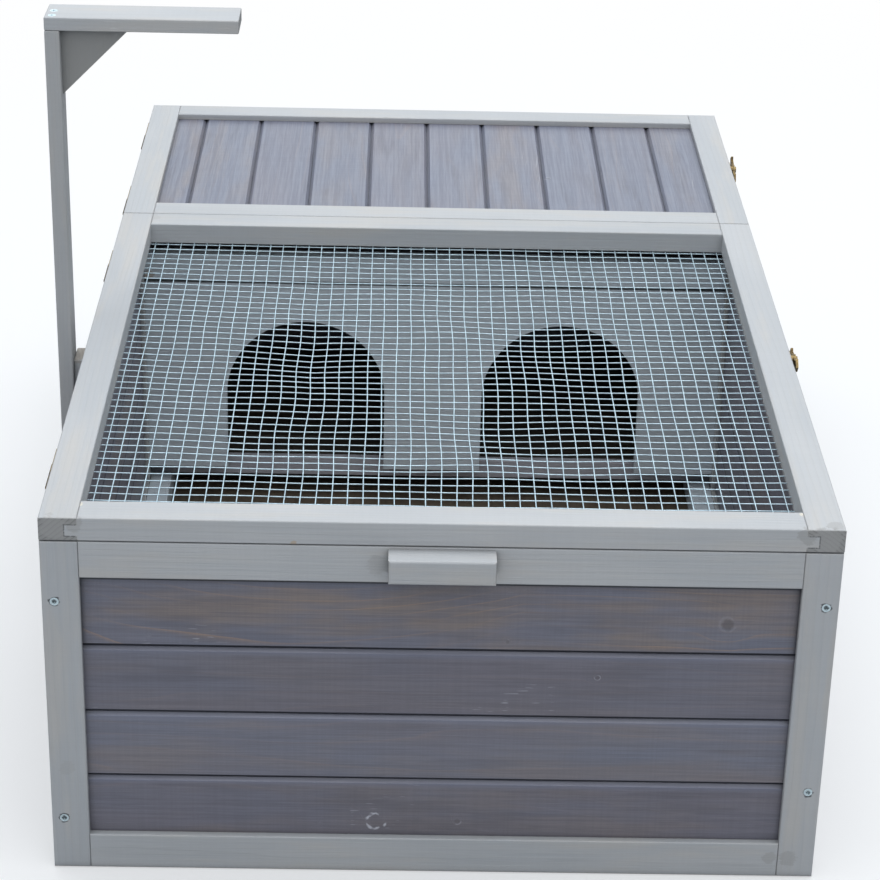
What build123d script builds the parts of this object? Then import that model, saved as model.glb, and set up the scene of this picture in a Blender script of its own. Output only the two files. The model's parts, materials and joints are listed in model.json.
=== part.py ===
from build123d import *
import os

# A low two-room hutch: a timber box with a wire-mesh lid over the run and a boarded lid over the
# bedroom, and a lamp bracket on its left side. Millimetres. X points right, Y points to the back
# and Z points up. The origin is the middle of the box's footprint, on the ground.

# Overall sizes
BODY_WIDTH = 628
BODY_DEPTH = 1000
BODY_HEIGHT = 325            # ground to the top of the closed lids
MESH_LID_LENGTH = 662        # front of the box to the seam between the lids
LID_GAP = 0.8                # lid to the top of the box
LID_SEAM_GAP = 1.0

# Timber
PANEL_THICKNESS = 20
STILE_WIDTH = 30
WALL_RAIL_WIDTH = 32
LID_RAIL_WIDTH = 30
EDGE_ROUNDING = 1.2
FACE_LIP = 6                 # outer face of a frame to the face of its boards
BOARD_THICKNESS = 10
GROOVE_DEPTH = 10
BOARD_ENGAGEMENT = 6         # how far the boards reach into the frame's grooves
BOARD_PITCH = 61
WALL_BOARD_COUNT = 4
LOWEST_WALL_SEAM = 85
BOARD_BEVEL = 2.8
BOARD_JOINT_GAP = 0.6
TONGUE_LENGTH = 4
TONGUE_THICKNESS = 3
TONGUE_CLEARANCE = 0.15
FIRST_ROOF_BOARD = 31        # visible width of the roof board at the left

# Floors and partition
FLOOR_THICKNESS = 6
BEARER_WIDTH = 22
BEARER_TOP = 32
DECK_BEHIND_SEAM = 6         # seam between the lids to the front of the deck
SILL_THICKNESS = 10          # board along the front of the deck
SILL_HEIGHT = 20
PARTITION_AHEAD_OF_SEAM = 14
PARTITION_RAIL_HEIGHT = 27
PARTITION_BELOW_WALL_TOP = 18.2
DOORWAY_PANEL_SETBACK = 2
DOORWAY_PANEL_THICKNESS = 9
DOORWAY_PANEL_GAP = 3.5      # rail to the top of the panel
DOORWAY_PANEL_BELOW_SILL = 3 # foot of the panel, in front of the sill, below the sill's top
DOORWAY_WIDTH = 162
DOORWAY_BELOW_PANEL_TOP = 41
DOORWAY_OFFSET = 131         # middle of the hutch to the middle of each doorway
CLEAT_WIDTH = 20
CLEAT_DEPTH = 18

# Carrying handles
HANDLE_LENGTH = 84
HANDLE_DEPTH = 20
HANDLE_HEIGHT = 21
HANDLE_BELOW_LID = 2
HANDLE_ROUNDING = 2

# Screws
SCREW_HEAD_RADIUS = 3.6
SCREW_HEAD_HEIGHT = 2.6
SCREW_SHANK_RADIUS = 1.7
SCREW_LENGTH = 36
SCREW_SLOT_LENGTH = 4
SCREW_SLOT_WIDTH = 0.9
SCREW_SLOT_DEPTH = 1.4
SCREW_HOLE_CLEARANCE = 0.05
LEFT_SCREW_HEIGHT = 48       # lower screw on the left
RIGHT_SCREW_HEIGHT = 83
LEFT_SCREW_DROP = 53.5       # top of the walls to the upper screw on the left
RIGHT_SCREW_DROP = 48.5

# Lamp bracket
LAMP_BLOCK_THICKNESS = 20
LAMP_BLOCK_DEPTH = 28
LAMP_BLOCK_FROM_FRONT = 396
LAMP_BLOCK_BELOW_WALL_TOP = 22.5
LAMP_BLOCK_HEIGHT = 150
LAMP_POST_THICKNESS = 13
LAMP_POST_DEPTH = 28
LAMP_POST_AHEAD = 7          # post's front ahead of the block's
LAMP_ARM_LENGTH = 168
LAMP_ARM_DEPTH = 41
LAMP_ARM_THICKNESS = 12
LAMP_ARM_ABOVE_LIDS = 282
GUSSET_LEG = 60
GUSSET_THICKNESS = 12
GUSSET_SETBACK = 10
LAMP_SCREW_LENGTH = 26
LAMP_SCREW_SPACING = 14
LAMP_BLOCK_SCREW_SPACING = 100

# Wire mesh and its staples
MESH_PITCH = 12.7            # nominal; the pitch is fitted to the frame
MESH_WIRE = 0.9
MESH_MARGIN = 1.5            # mesh to the walls it hangs between
MESH_UNDER_BACK_RAIL = 13.2
STAPLE_WIDTH = 10
STAPLE_WIRE = 0.7
STAPLES_ALONG = 6
STAPLES_ACROSS = 5

# Hinges, on the left
HINGE_LENGTH = 40
HINGE_LEAF_WIDTH = 16
HINGE_LEAF_THICKNESS = 1.5
HINGE_KNUCKLE_RADIUS = 3
HINGE_KNUCKLE_CLEARANCE = 0.5
HINGE_KNUCKLE_GAP = 0.4
HINGE_PIN_RADIUS = 1.5
HINGE_RUNNING_CLEARANCE = 0.05
MESH_LID_HINGE_SPACING = 440
SOLID_LID_HINGE_SPACING = 200

# Turn-button latches, on the right
LATCH_BASE_LENGTH = 24
LATCH_BASE_WIDTH = 12
LATCH_BASE_THICKNESS = 1.5
LATCH_BOSS_RADIUS = 4.5
LATCH_BOSS_HEIGHT = 3.8
LATCH_PIVOT_RADIUS = 2
LATCH_CAP_RADIUS = 3.4
LATCH_CAP_HEIGHT = 1.4
LATCH_WING_THICKNESS = 2.2
LATCH_GAP = 0.3
LATCH_REACH = 22             # pivot to each tip of the wing
LATCH_SHOULDER_START = 14.6
LATCH_SHOULDER_END = 15.6
LATCH_SHOULDER_HALF_WIDTH = 6
LATCH_WAIST_HALF_WIDTH = 3.2
LATCH_HUB_RADIUS = 5.2
LATCH_BEHIND_MIDDLE = 18     # pivot behind the middle of its lid
MESH_LATCH_TILT = -6         # how the wing lies at rest, from level
SOLID_LATCH_TILT = 14
KEEPER_RADIUS = 1.75
KEEPER_HEAD_RADIUS = 3.2
KEEPER_HEAD_HEIGHT = 1.4
KEEPER_OFFSET = 5.5          # keeper behind the latch's pivot
KEEPER_BELOW_WALL_TOP = 2

# Worked out from the sizes above
HALF_WIDTH = BODY_WIDTH / 2
HALF_DEPTH = BODY_DEPTH / 2
LID_UNDERSIDE = BODY_HEIGHT - PANEL_THICKNESS
WALL_HEIGHT = LID_UNDERSIDE - LID_GAP
SIDE_WALL_LENGTH = BODY_DEPTH - 2 * PANEL_THICKNESS
INNER_HALF_WIDTH = HALF_WIDTH - PANEL_THICKNESS
INNER_HALF_DEPTH = HALF_DEPTH - PANEL_THICKNESS
SEAM_Y = MESH_LID_LENGTH - HALF_DEPTH
GROOVE_SPAN = (FACE_LIP, FACE_LIP + BOARD_THICKNESS)
MESH_LID_SPAN = (-HALF_DEPTH, SEAM_Y - LID_SEAM_GAP / 2)
SOLID_LID_SPAN = (SEAM_Y + LID_SEAM_GAP / 2, HALF_DEPTH)
HINGE_STANDOFF = HINGE_KNUCKLE_RADIUS + HINGE_KNUCKLE_CLEARANCE
HINGE_AXIS_X = -HALF_WIDTH - HINGE_STANDOFF
HINGE_AXIS_Z = WALL_HEIGHT + LID_GAP / 2
LATCH_PIVOT_Z = BODY_HEIGHT - PANEL_THICKNESS / 2
DECK_FRONT = SEAM_Y + DECK_BEHIND_SEAM
SILL_TOP = BEARER_TOP + SILL_HEIGHT
PARTITION_FRONT = SEAM_Y - PARTITION_AHEAD_OF_SEAM
PARTITION_RAIL_TOP = WALL_HEIGHT - PARTITION_BELOW_WALL_TOP
LAMP_BLOCK_FRONT = LAMP_BLOCK_FROM_FRONT - HALF_DEPTH
LAMP_BLOCK_TOP = WALL_HEIGHT - LAMP_BLOCK_BELOW_WALL_TOP
LAMP_ARM_TOP = BODY_HEIGHT + LAMP_ARM_ABOVE_LIDS

parts = {}


def bar(x_limits, y_limits, z_limits):
    """A rectangular bar between its limits along X, Y and Z."""
    spans = [sorted(limits) for limits in (x_limits, y_limits, z_limits)]
    size = [high - low for low, high in spans]
    middle = [(high + low) / 2 for low, high in spans]
    return Pos(*middle) * Box(*size)


def span_middle(span):
    """The middle of a pair of limits."""
    return (span[0] + span[1]) / 2


def eased_bar(x_limits, y_limits, z_limits):
    """A bar with all its edges slightly rounded."""
    piece = bar(x_limits, y_limits, z_limits)
    return fillet(piece.edges(), EDGE_ROUNDING)


def eased_faces(piece):
    """A panel's frame piece with the edges of its outer and inner faces slightly rounded."""
    faces = piece.faces().sort_by(Axis.Y)
    return fillet(faces[0].edges() + faces[-1].edges(), EDGE_ROUNDING)


# Framed panels. A panel is made standing up with its outer face on y = 0, its middle on x = 0
# and its foot on z = 0, and is then turned and moved to its place.

def panel_stile(length, height, rail_width, side, takes_boards):
    """The upright at one end of a panel, side -1 or 1, slotted for the rails and the boards."""
    outer = side * length / 2
    inner = outer - side * STILE_WIDTH
    stile = eased_faces(bar((inner, outer), (0, PANEL_THICKNESS), (0, height)))
    slots = [(0, height)]
    if not takes_boards:
        slots = [(0, rail_width), (height - rail_width, height)]
    for slot in slots:
        stile -= bar((inner, inner + side * GROOVE_DEPTH), GROOVE_SPAN, slot)
    return stile


def panel_rail(length, height, rail_width, at_top, takes_boards):
    """A rail between the stiles, with a tongue at each end and a groove for the boards."""
    half = length / 2 - STILE_WIDTH
    low = height - rail_width if at_top else 0
    high = low + rail_width
    rail = eased_faces(bar((-half, half), (0, PANEL_THICKNESS), (low, high)))
    rail += bar((-half - GROOVE_DEPTH, half + GROOVE_DEPTH), GROOVE_SPAN, (low, high))
    if takes_boards:
        groove = (low, low + GROOVE_DEPTH) if at_top else (high - GROOVE_DEPTH, high)
        rail -= bar((-half - GROOVE_DEPTH, half + GROOVE_DEPTH), GROOVE_SPAN, groove)
    return rail


def middle_post(height, x_middle):
    """The upright between the two bays of a side wall, tongued into the rails."""
    half = STILE_WIDTH / 2
    low = WALL_RAIL_WIDTH
    high = height - WALL_RAIL_WIDTH
    post = eased_faces(bar((x_middle - half, x_middle + half), (0, PANEL_THICKNESS), (low, high)))
    web = half - GROOVE_DEPTH
    for side in (-1, 1):
        post -= bar((x_middle + side * half, x_middle + side * web), GROOVE_SPAN, (low, high))
    tongue_z = (low - GROOVE_DEPTH, high + GROOVE_DEPTH)
    post += bar((x_middle - web, x_middle + web), GROOVE_SPAN, tongue_z)
    return post


def board(length_limits, low, high, grooved, tongued):
    """A board along X with its face on y = 0; grooved along its lower edge, tongued along its upper."""
    thickness = BOARD_THICKNESS
    tongue_front = (thickness - TONGUE_THICKNESS) / 2
    tongue_back = tongue_front + TONGUE_THICKNESS
    outline = []
    if grooved:
        low += BOARD_JOINT_GAP / 2
        groove_front = tongue_front - TONGUE_CLEARANCE
        groove_back = tongue_back + TONGUE_CLEARANCE
        groove_top = low + TONGUE_LENGTH + TONGUE_CLEARANCE
        outline += [(0, low + BOARD_BEVEL), (BOARD_BEVEL, low), (groove_front, low)]
        outline += [(groove_front, groove_top), (groove_back, groove_top), (groove_back, low)]
    else:
        outline += [(0, low)]
    outline += [(thickness, low)]
    if tongued:
        high -= BOARD_JOINT_GAP / 2
        tongue_top = high + TONGUE_LENGTH
        outline += [(thickness, high), (tongue_back, high), (tongue_back, tongue_top)]
        outline += [(tongue_front, tongue_top), (tongue_front, high)]
        outline += [(BOARD_BEVEL, high), (0, high - BOARD_BEVEL)]
    else:
        outline += [(thickness, high), (0, high)]
    section = Plane.YZ * make_face(Polyline(*outline, close=True))
    start, end = length_limits
    return Pos(start, FACE_LIP, 0) * extrude(section, amount=end - start)


def board_stack(length_limits, edges):
    """Boards one above another, between each pair of neighbours in edges."""
    last = len(edges) - 2
    return [
        board(length_limits, edges[i], edges[i + 1], grooved=i > 0, tongued=i < last)
        for i in range(len(edges) - 1)
    ]


def board_edges(low, high, first_seam):
    """The lower edge, each seam at the boards' pitch, and the upper edge."""
    edges = [low]
    seam = first_seam
    while seam < high - BOARD_PITCH / 3:
        edges.append(seam)
        seam += BOARD_PITCH
    return edges + [high]


def wall_board_edges():
    """The heights where the wall boards start, meet and end."""
    low = WALL_RAIL_WIDTH - BOARD_ENGAGEMENT
    high = WALL_HEIGHT - WALL_RAIL_WIDTH + BOARD_ENGAGEMENT
    seams = [LOWEST_WALL_SEAM + i * BOARD_PITCH for i in range(WALL_BOARD_COUNT - 1)]
    return [low] + seams + [high]


# Screws

def screw_body(length, clearance):
    """A countersunk head and shank along Z, head flush with z = 0, grown by clearance."""
    head = Cone(SCREW_SHANK_RADIUS + clearance, SCREW_HEAD_RADIUS + clearance, SCREW_HEAD_HEIGHT)
    shank = Cylinder(SCREW_SHANK_RADIUS + clearance, length)
    return Pos(0, 0, -SCREW_HEAD_HEIGHT / 2) * head + Pos(0, 0, -length / 2) * shank


def wood_screw(length):
    """A countersunk screw with a cross recess in its head."""
    screw = screw_body(length, 0)
    for size in ((SCREW_SLOT_LENGTH, SCREW_SLOT_WIDTH), (SCREW_SLOT_WIDTH, SCREW_SLOT_LENGTH)):
        screw -= Pos(0, 0, -SCREW_SLOT_DEPTH / 2) * Box(*size, SCREW_SLOT_DEPTH)
    return screw


def drill(piece, places, length):
    """Cut a screw's hole in a piece at each place."""
    for place in places:
        piece -= place * screw_body(length, SCREW_HOLE_CLEARANCE)
    return piece


def end_screw_places(facing):
    """Where the screws enter the front (facing -1) or back (facing 1) stiles, by side."""
    x = HALF_WIDTH - PANEL_THICKNESS / 2
    heights = {
        -1: (LEFT_SCREW_HEIGHT, WALL_HEIGHT - LEFT_SCREW_DROP),
        1: (RIGHT_SCREW_HEIGHT, WALL_HEIGHT - RIGHT_SCREW_DROP),
    }
    return {
        side: [
            Pos(side * x, facing * HALF_DEPTH, height) * Rot(-90 * facing, 0, 0)
            for height in heights[side]
        ]
        for side in (-1, 1)
    }


# The box

def make_end_walls():
    """The front and back panels, which cover the ends of the side walls."""
    half = BODY_WIDTH / 2
    bay = half - STILE_WIDTH + BOARD_ENGAGEMENT
    for name, facing in (("front", -1), ("back", 1)):
        place = Pos(0, facing * HALF_DEPTH, 0) * Rot(0, 0, 90 + 90 * facing)
        screw_places = end_screw_places(facing)
        for side_name, side in (("left", -1), ("right", 1)):
            stile = panel_stile(BODY_WIDTH, WALL_HEIGHT, WALL_RAIL_WIDTH, -facing * side, True)
            stile = drill(place * stile, screw_places[side], SCREW_LENGTH)
            parts[f"{name}_{side_name}_stile"] = stile
        for rail_name, at_top in (("top", True), ("bottom", False)):
            rail = panel_rail(BODY_WIDTH, WALL_HEIGHT, WALL_RAIL_WIDTH, at_top, True)
            parts[f"{name}_{rail_name}_rail"] = place * rail
        boards = [place * piece for piece in board_stack((-bay, bay), wall_board_edges())]
        if name == "front":
            for number, piece in enumerate(boards, start=1):
                parts[f"front_board_{number}"] = piece
        else:
            parts["back_boards"] = Compound(children=boards)
    screws = [
        place * wood_screw(SCREW_LENGTH)
        for facing in (-1, 1)
        for places in end_screw_places(facing).values()
        for place in places
    ]
    parts["panel_screws"] = Compound(children=screws)


def make_side_walls():
    """The two side walls, each with a bay beside the run and a bay beside the bedroom."""
    half = SIDE_WALL_LENGTH / 2
    for side_name, side in (("left", -1), ("right", 1)):
        place = Pos(side * HALF_WIDTH, 0, 0) * Rot(0, 0, 90 * side)
        front_screws = end_screw_places(-1)[side]
        back_screws = end_screw_places(1)[side]
        ends = (("front", -side, front_screws), ("back", side, back_screws))
        for end_name, end, screw_places in ends:
            post = panel_stile(SIDE_WALL_LENGTH, WALL_HEIGHT, WALL_RAIL_WIDTH, end, True)
            post = drill(place * post, screw_places, SCREW_LENGTH)
            parts[f"{side_name}_wall_{end_name}_post"] = post
        for rail_name, at_top in (("top", True), ("bottom", False)):
            rail = panel_rail(SIDE_WALL_LENGTH, WALL_HEIGHT, WALL_RAIL_WIDTH, at_top, True)
            parts[f"{side_name}_wall_{rail_name}_rail"] = place * rail
        middle = side * SEAM_Y
        parts[f"{side_name}_wall_middle_post"] = place * middle_post(WALL_HEIGHT, middle)
        reach = half - STILE_WIDTH + BOARD_ENGAGEMENT
        gap = STILE_WIDTH / 2 - BOARD_ENGAGEMENT
        bays = ((-reach, middle - gap), (middle + gap, reach))
        boards = [piece for bay in bays for piece in board_stack(bay, wall_board_edges())]
        parts[f"{side_name}_wall_boards"] = Compound(children=[place * piece for piece in boards])


def make_floors():
    """The run's floor, the bearers along the side walls, and the raised deck of the bedroom."""
    bearer_x = (INNER_HALF_WIDTH - BEARER_WIDTH, INNER_HALF_WIDTH)
    boards_front = DECK_FRONT + SILL_THICKNESS
    full_length = (-INNER_HALF_DEPTH, INNER_HALF_DEPTH)
    full_width = (-INNER_HALF_WIDTH, INNER_HALF_WIDTH)
    parts["run_floor"] = bar(full_width, full_length, (0, FLOOR_THICKNESS))
    bearers = []
    for side in (-1, 1):
        bearer_span = [side * x for x in bearer_x]
        bearers.append(eased_bar(bearer_span, full_length, (FLOOR_THICKNESS, BEARER_TOP)))
    parts["floor_bearers"] = Compound(children=bearers)
    sill_y = (DECK_FRONT, boards_front)
    parts["deck_front_board"] = eased_bar(full_width, sill_y, (BEARER_TOP, SILL_TOP))
    edges = board_edges(boards_front, INNER_HALF_DEPTH, boards_front + BOARD_PITCH)
    lay_flat = Pos(0, 0, BEARER_TOP + BOARD_THICKNESS + FACE_LIP) * Rot(-90, 0, 0)
    planks = [lay_flat * piece for piece in board_stack(full_width, edges)]
    parts["deck_boards"] = Compound(children=planks)


def make_partition():
    """The rail and the panel with two arched doorways between the run and the bedroom."""
    rail_bottom = PARTITION_RAIL_TOP - PARTITION_RAIL_HEIGHT
    rail_y = (PARTITION_FRONT, PARTITION_FRONT + PANEL_THICKNESS)
    full_width = (-INNER_HALF_WIDTH, INNER_HALF_WIDTH)
    parts["partition_rail"] = eased_bar(full_width, rail_y, (rail_bottom, PARTITION_RAIL_TOP))
    panel_front = PARTITION_FRONT + DOORWAY_PANEL_SETBACK
    panel_back = panel_front + DOORWAY_PANEL_THICKNESS
    panel_top = rail_bottom - DOORWAY_PANEL_GAP
    panel_foot = SILL_TOP - DOORWAY_PANEL_BELOW_SILL
    panel = bar(full_width, (panel_front, panel_back), (panel_foot, panel_top))
    radius = DOORWAY_WIDTH / 2
    spring_line = panel_top - DOORWAY_BELOW_PANEL_TOP - radius
    for side in (-1, 1):
        middle = side * DOORWAY_OFFSET
        sides = (middle - radius, middle + radius)
        panel -= bar(sides, (panel_front, panel_back), (panel_foot, spring_line))
        arch = Rot(90, 0, 0) * Cylinder(radius, DOORWAY_PANEL_THICKNESS)
        panel -= Pos(middle, (panel_front + panel_back) / 2, spring_line) * arch
    parts["doorway_panel"] = panel
    cleats = []
    for side in (-1, 1):
        cleat_x = (side * INNER_HALF_WIDTH, side * (INNER_HALF_WIDTH - CLEAT_WIDTH))
        cleats.append(bar(cleat_x, (panel_back, panel_back + CLEAT_DEPTH), (SILL_TOP, rail_bottom)))
    parts["partition_cleats"] = Compound(children=cleats)


def make_handles():
    """The grip blocks on the top rails of the front and back panels."""
    high = WALL_HEIGHT - HANDLE_BELOW_LID
    for name, facing in (("front", -1), ("back", 1)):
        handle_y = (facing * HALF_DEPTH, facing * (HALF_DEPTH + HANDLE_DEPTH))
        handle_x = (-HANDLE_LENGTH / 2, HANDLE_LENGTH / 2)
        handle = bar(handle_x, handle_y, (high - HANDLE_HEIGHT, high))
        outer = handle.faces().sort_by(Axis.Y)[0 if facing < 0 else -1]
        parts[f"{name}_handle"] = fillet(outer.edges(), HANDLE_ROUNDING)


# The lamp bracket

def make_lamp_bracket():
    """A block on the left wall, the post screwed to it, and an arm over the run with its gusset."""
    wall_x = -HALF_WIDTH
    post_right = wall_x - LAMP_BLOCK_THICKNESS
    post_left = post_right - LAMP_POST_THICKNESS
    block_y = (LAMP_BLOCK_FRONT, LAMP_BLOCK_FRONT + LAMP_BLOCK_DEPTH)
    post_front = LAMP_BLOCK_FRONT - LAMP_POST_AHEAD
    post_y = (post_front, post_front + LAMP_POST_DEPTH)
    block_bottom = LAMP_BLOCK_TOP - LAMP_BLOCK_HEIGHT
    arm_bottom = LAMP_ARM_TOP - LAMP_ARM_THICKNESS
    block = eased_bar((post_right, wall_x), block_y, (block_bottom, LAMP_BLOCK_TOP))
    post = eased_bar((post_left, post_right), post_y, (block_bottom, arm_bottom))
    arm_y = (post_front, post_front + LAMP_ARM_DEPTH)
    arm_x = (post_left, post_left + LAMP_ARM_LENGTH)
    arm = eased_bar(arm_x, arm_y, (arm_bottom, LAMP_ARM_TOP))
    corners = [(0, 0), (GUSSET_LEG, 0), (0, -GUSSET_LEG)]
    triangle = Plane.XZ * make_face(Polyline(*corners, close=True))
    gusset_back = post_front + GUSSET_SETBACK + GUSSET_THICKNESS
    gusset = Pos(post_right, gusset_back, arm_bottom) * extrude(triangle, amount=GUSSET_THICKNESS)

    post_middle_x = (post_left + post_right) / 2
    post_middle_y = span_middle(post_y)
    arm_screws = [
        Pos(post_middle_x, post_middle_y + offset, LAMP_ARM_TOP)
        for offset in (-LAMP_SCREW_SPACING / 2, LAMP_SCREW_SPACING / 2)
    ]
    block_middle = (block_bottom + LAMP_BLOCK_TOP) / 2
    block_screws = [
        Pos(post_left, span_middle((block_y[0], post_y[1])), block_middle + offset) * Rot(0, -90, 0)
        for offset in (-LAMP_BLOCK_SCREW_SPACING / 2, LAMP_BLOCK_SCREW_SPACING / 2)
    ]
    parts["lamp_arm"] = drill(arm, arm_screws, LAMP_SCREW_LENGTH)
    parts["lamp_post"] = drill(post, arm_screws + block_screws, LAMP_SCREW_LENGTH)
    parts["lamp_block"] = drill(block, block_screws, LAMP_SCREW_LENGTH)
    parts["lamp_gusset"] = gusset
    screws = [place * wood_screw(LAMP_SCREW_LENGTH) for place in arm_screws + block_screws]
    parts["lamp_screws"] = Compound(children=screws)


# The lids. A lid is a framed panel laid flat, so its outer face is on top and its stiles run
# from front to back.

def lid_frame(name, span, takes_boards):
    """The stiles and rails of a lid between two places along Y."""
    length = span[1] - span[0]
    place = Pos(0, span[0], BODY_HEIGHT) * Rot(-90, 0, 0)
    for side_name, side in (("left", -1), ("right", 1)):
        stile = panel_stile(BODY_WIDTH, length, LID_RAIL_WIDTH, side, takes_boards)
        parts[f"{name}_{side_name}_stile"] = place * stile
    for rail_name, at_back in (("front", False), ("back", True)):
        rail = panel_rail(BODY_WIDTH, length, LID_RAIL_WIDTH, at_back, takes_boards)
        parts[f"{name}_{rail_name}_rail"] = place * rail
    return place


def make_roof_boards(place):
    """The boards of the solid lid, from front to back."""
    half = HALF_WIDTH - STILE_WIDTH
    length = SOLID_LID_SPAN[1] - SOLID_LID_SPAN[0]
    ends = (LID_RAIL_WIDTH - BOARD_ENGAGEMENT, length - LID_RAIL_WIDTH + BOARD_ENGAGEMENT)
    first_seam = -half + FIRST_ROOF_BOARD
    edges = board_edges(-half - BOARD_ENGAGEMENT, half + BOARD_ENGAGEMENT, first_seam)
    turn = place * Rot(0, 90, 0)
    boards = [turn * piece for piece in board_stack((-ends[1], -ends[0]), edges)]
    parts["roof_boards"] = Compound(children=boards)


def wire_places(limits):
    """Evenly pitched places for the wires, with the outer wires flush with the two limits."""
    first = limits[0] + MESH_WIRE / 2
    span = limits[1] - limits[0] - MESH_WIRE
    count = round(span / MESH_PITCH)
    return [first + i * span / count for i in range(count + 1)]


def make_wire_mesh():
    """Welded mesh under the lid's frame: wires from front to back, and wires across under them."""
    x_limits = (-INNER_HALF_WIDTH + MESH_MARGIN, INNER_HALF_WIDTH - MESH_MARGIN)
    back = MESH_LID_SPAN[1] - LID_RAIL_WIDTH + MESH_UNDER_BACK_RAIL
    y_limits = (-INNER_HALF_DEPTH + MESH_MARGIN, back)
    half_wire = MESH_WIRE / 2
    upper = (LID_UNDERSIDE - MESH_WIRE, LID_UNDERSIDE)
    lower = (LID_UNDERSIDE - 2 * MESH_WIRE, LID_UNDERSIDE - MESH_WIRE)
    wires = [bar((x - half_wire, x + half_wire), y_limits, upper) for x in wire_places(x_limits)]
    wires += [bar(x_limits, (y - half_wire, y + half_wire), lower) for y in wire_places(y_limits)]
    parts["wire_mesh"] = Compound(children=wires)
    make_staples(x_limits, y_limits)


def staple():
    """A staple with its crown along X under the mesh and its legs up to the frame, top on z = 0."""
    half = STAPLE_WIDTH / 2
    crown_top = -2 * MESH_WIRE
    body = bar((-half, half), (-STAPLE_WIRE, 0), (crown_top - STAPLE_WIRE, crown_top))
    for side in (-1, 1):
        leg_x = (side * half, side * (half - STAPLE_WIRE))
        body += bar(leg_x, (-STAPLE_WIRE, 0), (crown_top, 0))
    return body


def staple_places(limits, count, pitch_places):
    """Places for staples, evenly spread, each astride one wire."""
    step = (limits[1] - limits[0]) / count
    wanted = [limits[0] + step * (i + 0.5) for i in range(count)]
    return [min(pitch_places, key=lambda place: abs(place - want)) for want in wanted]


def make_staples(x_limits, y_limits):
    """Staples along the four edges of the mesh, each over one wire."""
    across = wire_places(x_limits)
    along = wire_places(y_limits)
    reach = MESH_PITCH / 4
    staples = []
    for y, turn in ((y_limits[0] + reach, 0), (y_limits[1] - reach, 180)):
        for x in staple_places(x_limits, STAPLES_ACROSS, across):
            staples.append(Pos(x, y, LID_UNDERSIDE) * Rot(0, 0, turn) * staple())
    for x, turn in ((x_limits[0] + reach, -90), (x_limits[1] - reach, 90)):
        for y in staple_places(y_limits, STAPLES_ALONG, along):
            staples.append(Pos(x, y, LID_UNDERSIDE) * Rot(0, 0, turn) * staple())
    parts["mesh_staples"] = Compound(children=staples)


# Hinges and latches

def hinge_leaf(direction, knuckle_spans, bore_radius):
    """A hinge leaf with its pin along Y through the origin; direction -1 hangs, 1 stands."""
    plate_x = (HINGE_STANDOFF - HINGE_LEAF_THICKNESS, HINGE_STANDOFF)
    clear_of_knuckles = HINGE_KNUCKLE_RADIUS + HINGE_KNUCKLE_GAP
    plate_z = (direction * clear_of_knuckles, direction * HINGE_LEAF_WIDTH)
    leaf = bar(plate_x, (-HINGE_LENGTH / 2, HINGE_LENGTH / 2), plate_z)
    for span in knuckle_spans:
        leaf += bar(plate_x, span, (0, direction * clear_of_knuckles))
        knuckle = Rot(90, 0, 0) * Cylinder(HINGE_KNUCKLE_RADIUS, span[1] - span[0])
        leaf += Pos(0, span_middle(span), 0) * knuckle
    return leaf - Rot(90, 0, 0) * Cylinder(bore_radius, HINGE_LENGTH)


def hinge_places(span, spacing):
    """The middles of the two hinges of a lid."""
    middle = span_middle(span)
    offsets = (-spacing / 2, spacing / 2)
    return [Pos(HINGE_AXIS_X, middle + offset, HINGE_AXIS_Z) for offset in offsets]


def make_hinges():
    """Two butt hinges on each lid: outer knuckles on the box, the middle knuckle on the lid."""
    third = HINGE_LENGTH / 6
    end = HINGE_LENGTH / 2
    outer_spans = ((-end, -third - HINGE_KNUCKLE_GAP / 2), (third + HINGE_KNUCKLE_GAP / 2, end))
    middle_span = (-third + HINGE_KNUCKLE_GAP / 2, third - HINGE_KNUCKLE_GAP / 2)
    box_leaf = hinge_leaf(-1, outer_spans, HINGE_PIN_RADIUS)
    lid_leaf = hinge_leaf(1, (middle_span,), HINGE_PIN_RADIUS + HINGE_RUNNING_CLEARANCE)
    pin = Rot(90, 0, 0) * Cylinder(HINGE_PIN_RADIUS, HINGE_LENGTH)
    mesh_places = hinge_places(MESH_LID_SPAN, MESH_LID_HINGE_SPACING)
    solid_places = hinge_places(SOLID_LID_SPAN, SOLID_LID_HINGE_SPACING)
    every_place = mesh_places + solid_places
    parts["hinge_box_leaves"] = Compound(children=[place * box_leaf for place in every_place])
    parts["hinge_pins"] = Compound(children=[place * pin for place in every_place])
    parts["mesh_lid_hinge_leaves"] = Compound(children=[place * lid_leaf for place in mesh_places])
    parts["solid_lid_hinge_leaves"] = Compound(children=[place * lid_leaf for place in solid_places])


def disc(radius, x_limits):
    """A round disc or pin along X between two limits."""
    height = x_limits[1] - x_limits[0]
    return Pos(span_middle(x_limits), 0, 0) * Rot(0, 90, 0) * Cylinder(radius, height)


def latch_base():
    """The base plate with its boss and the pivot, standing on x = 0."""
    plate = Plane.YZ * SlotOverall(LATCH_BASE_LENGTH, LATCH_BASE_WIDTH)
    base = extrude(plate, amount=LATCH_BASE_THICKNESS)
    pivot_end = LATCH_BOSS_HEIGHT + LATCH_WING_THICKNESS + 2 * LATCH_GAP
    base += disc(LATCH_BOSS_RADIUS, (0, LATCH_BOSS_HEIGHT))
    base += disc(LATCH_PIVOT_RADIUS, (0, pivot_end))
    return base + disc(LATCH_CAP_RADIUS, (pivot_end, pivot_end + LATCH_CAP_HEIGHT))


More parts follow.
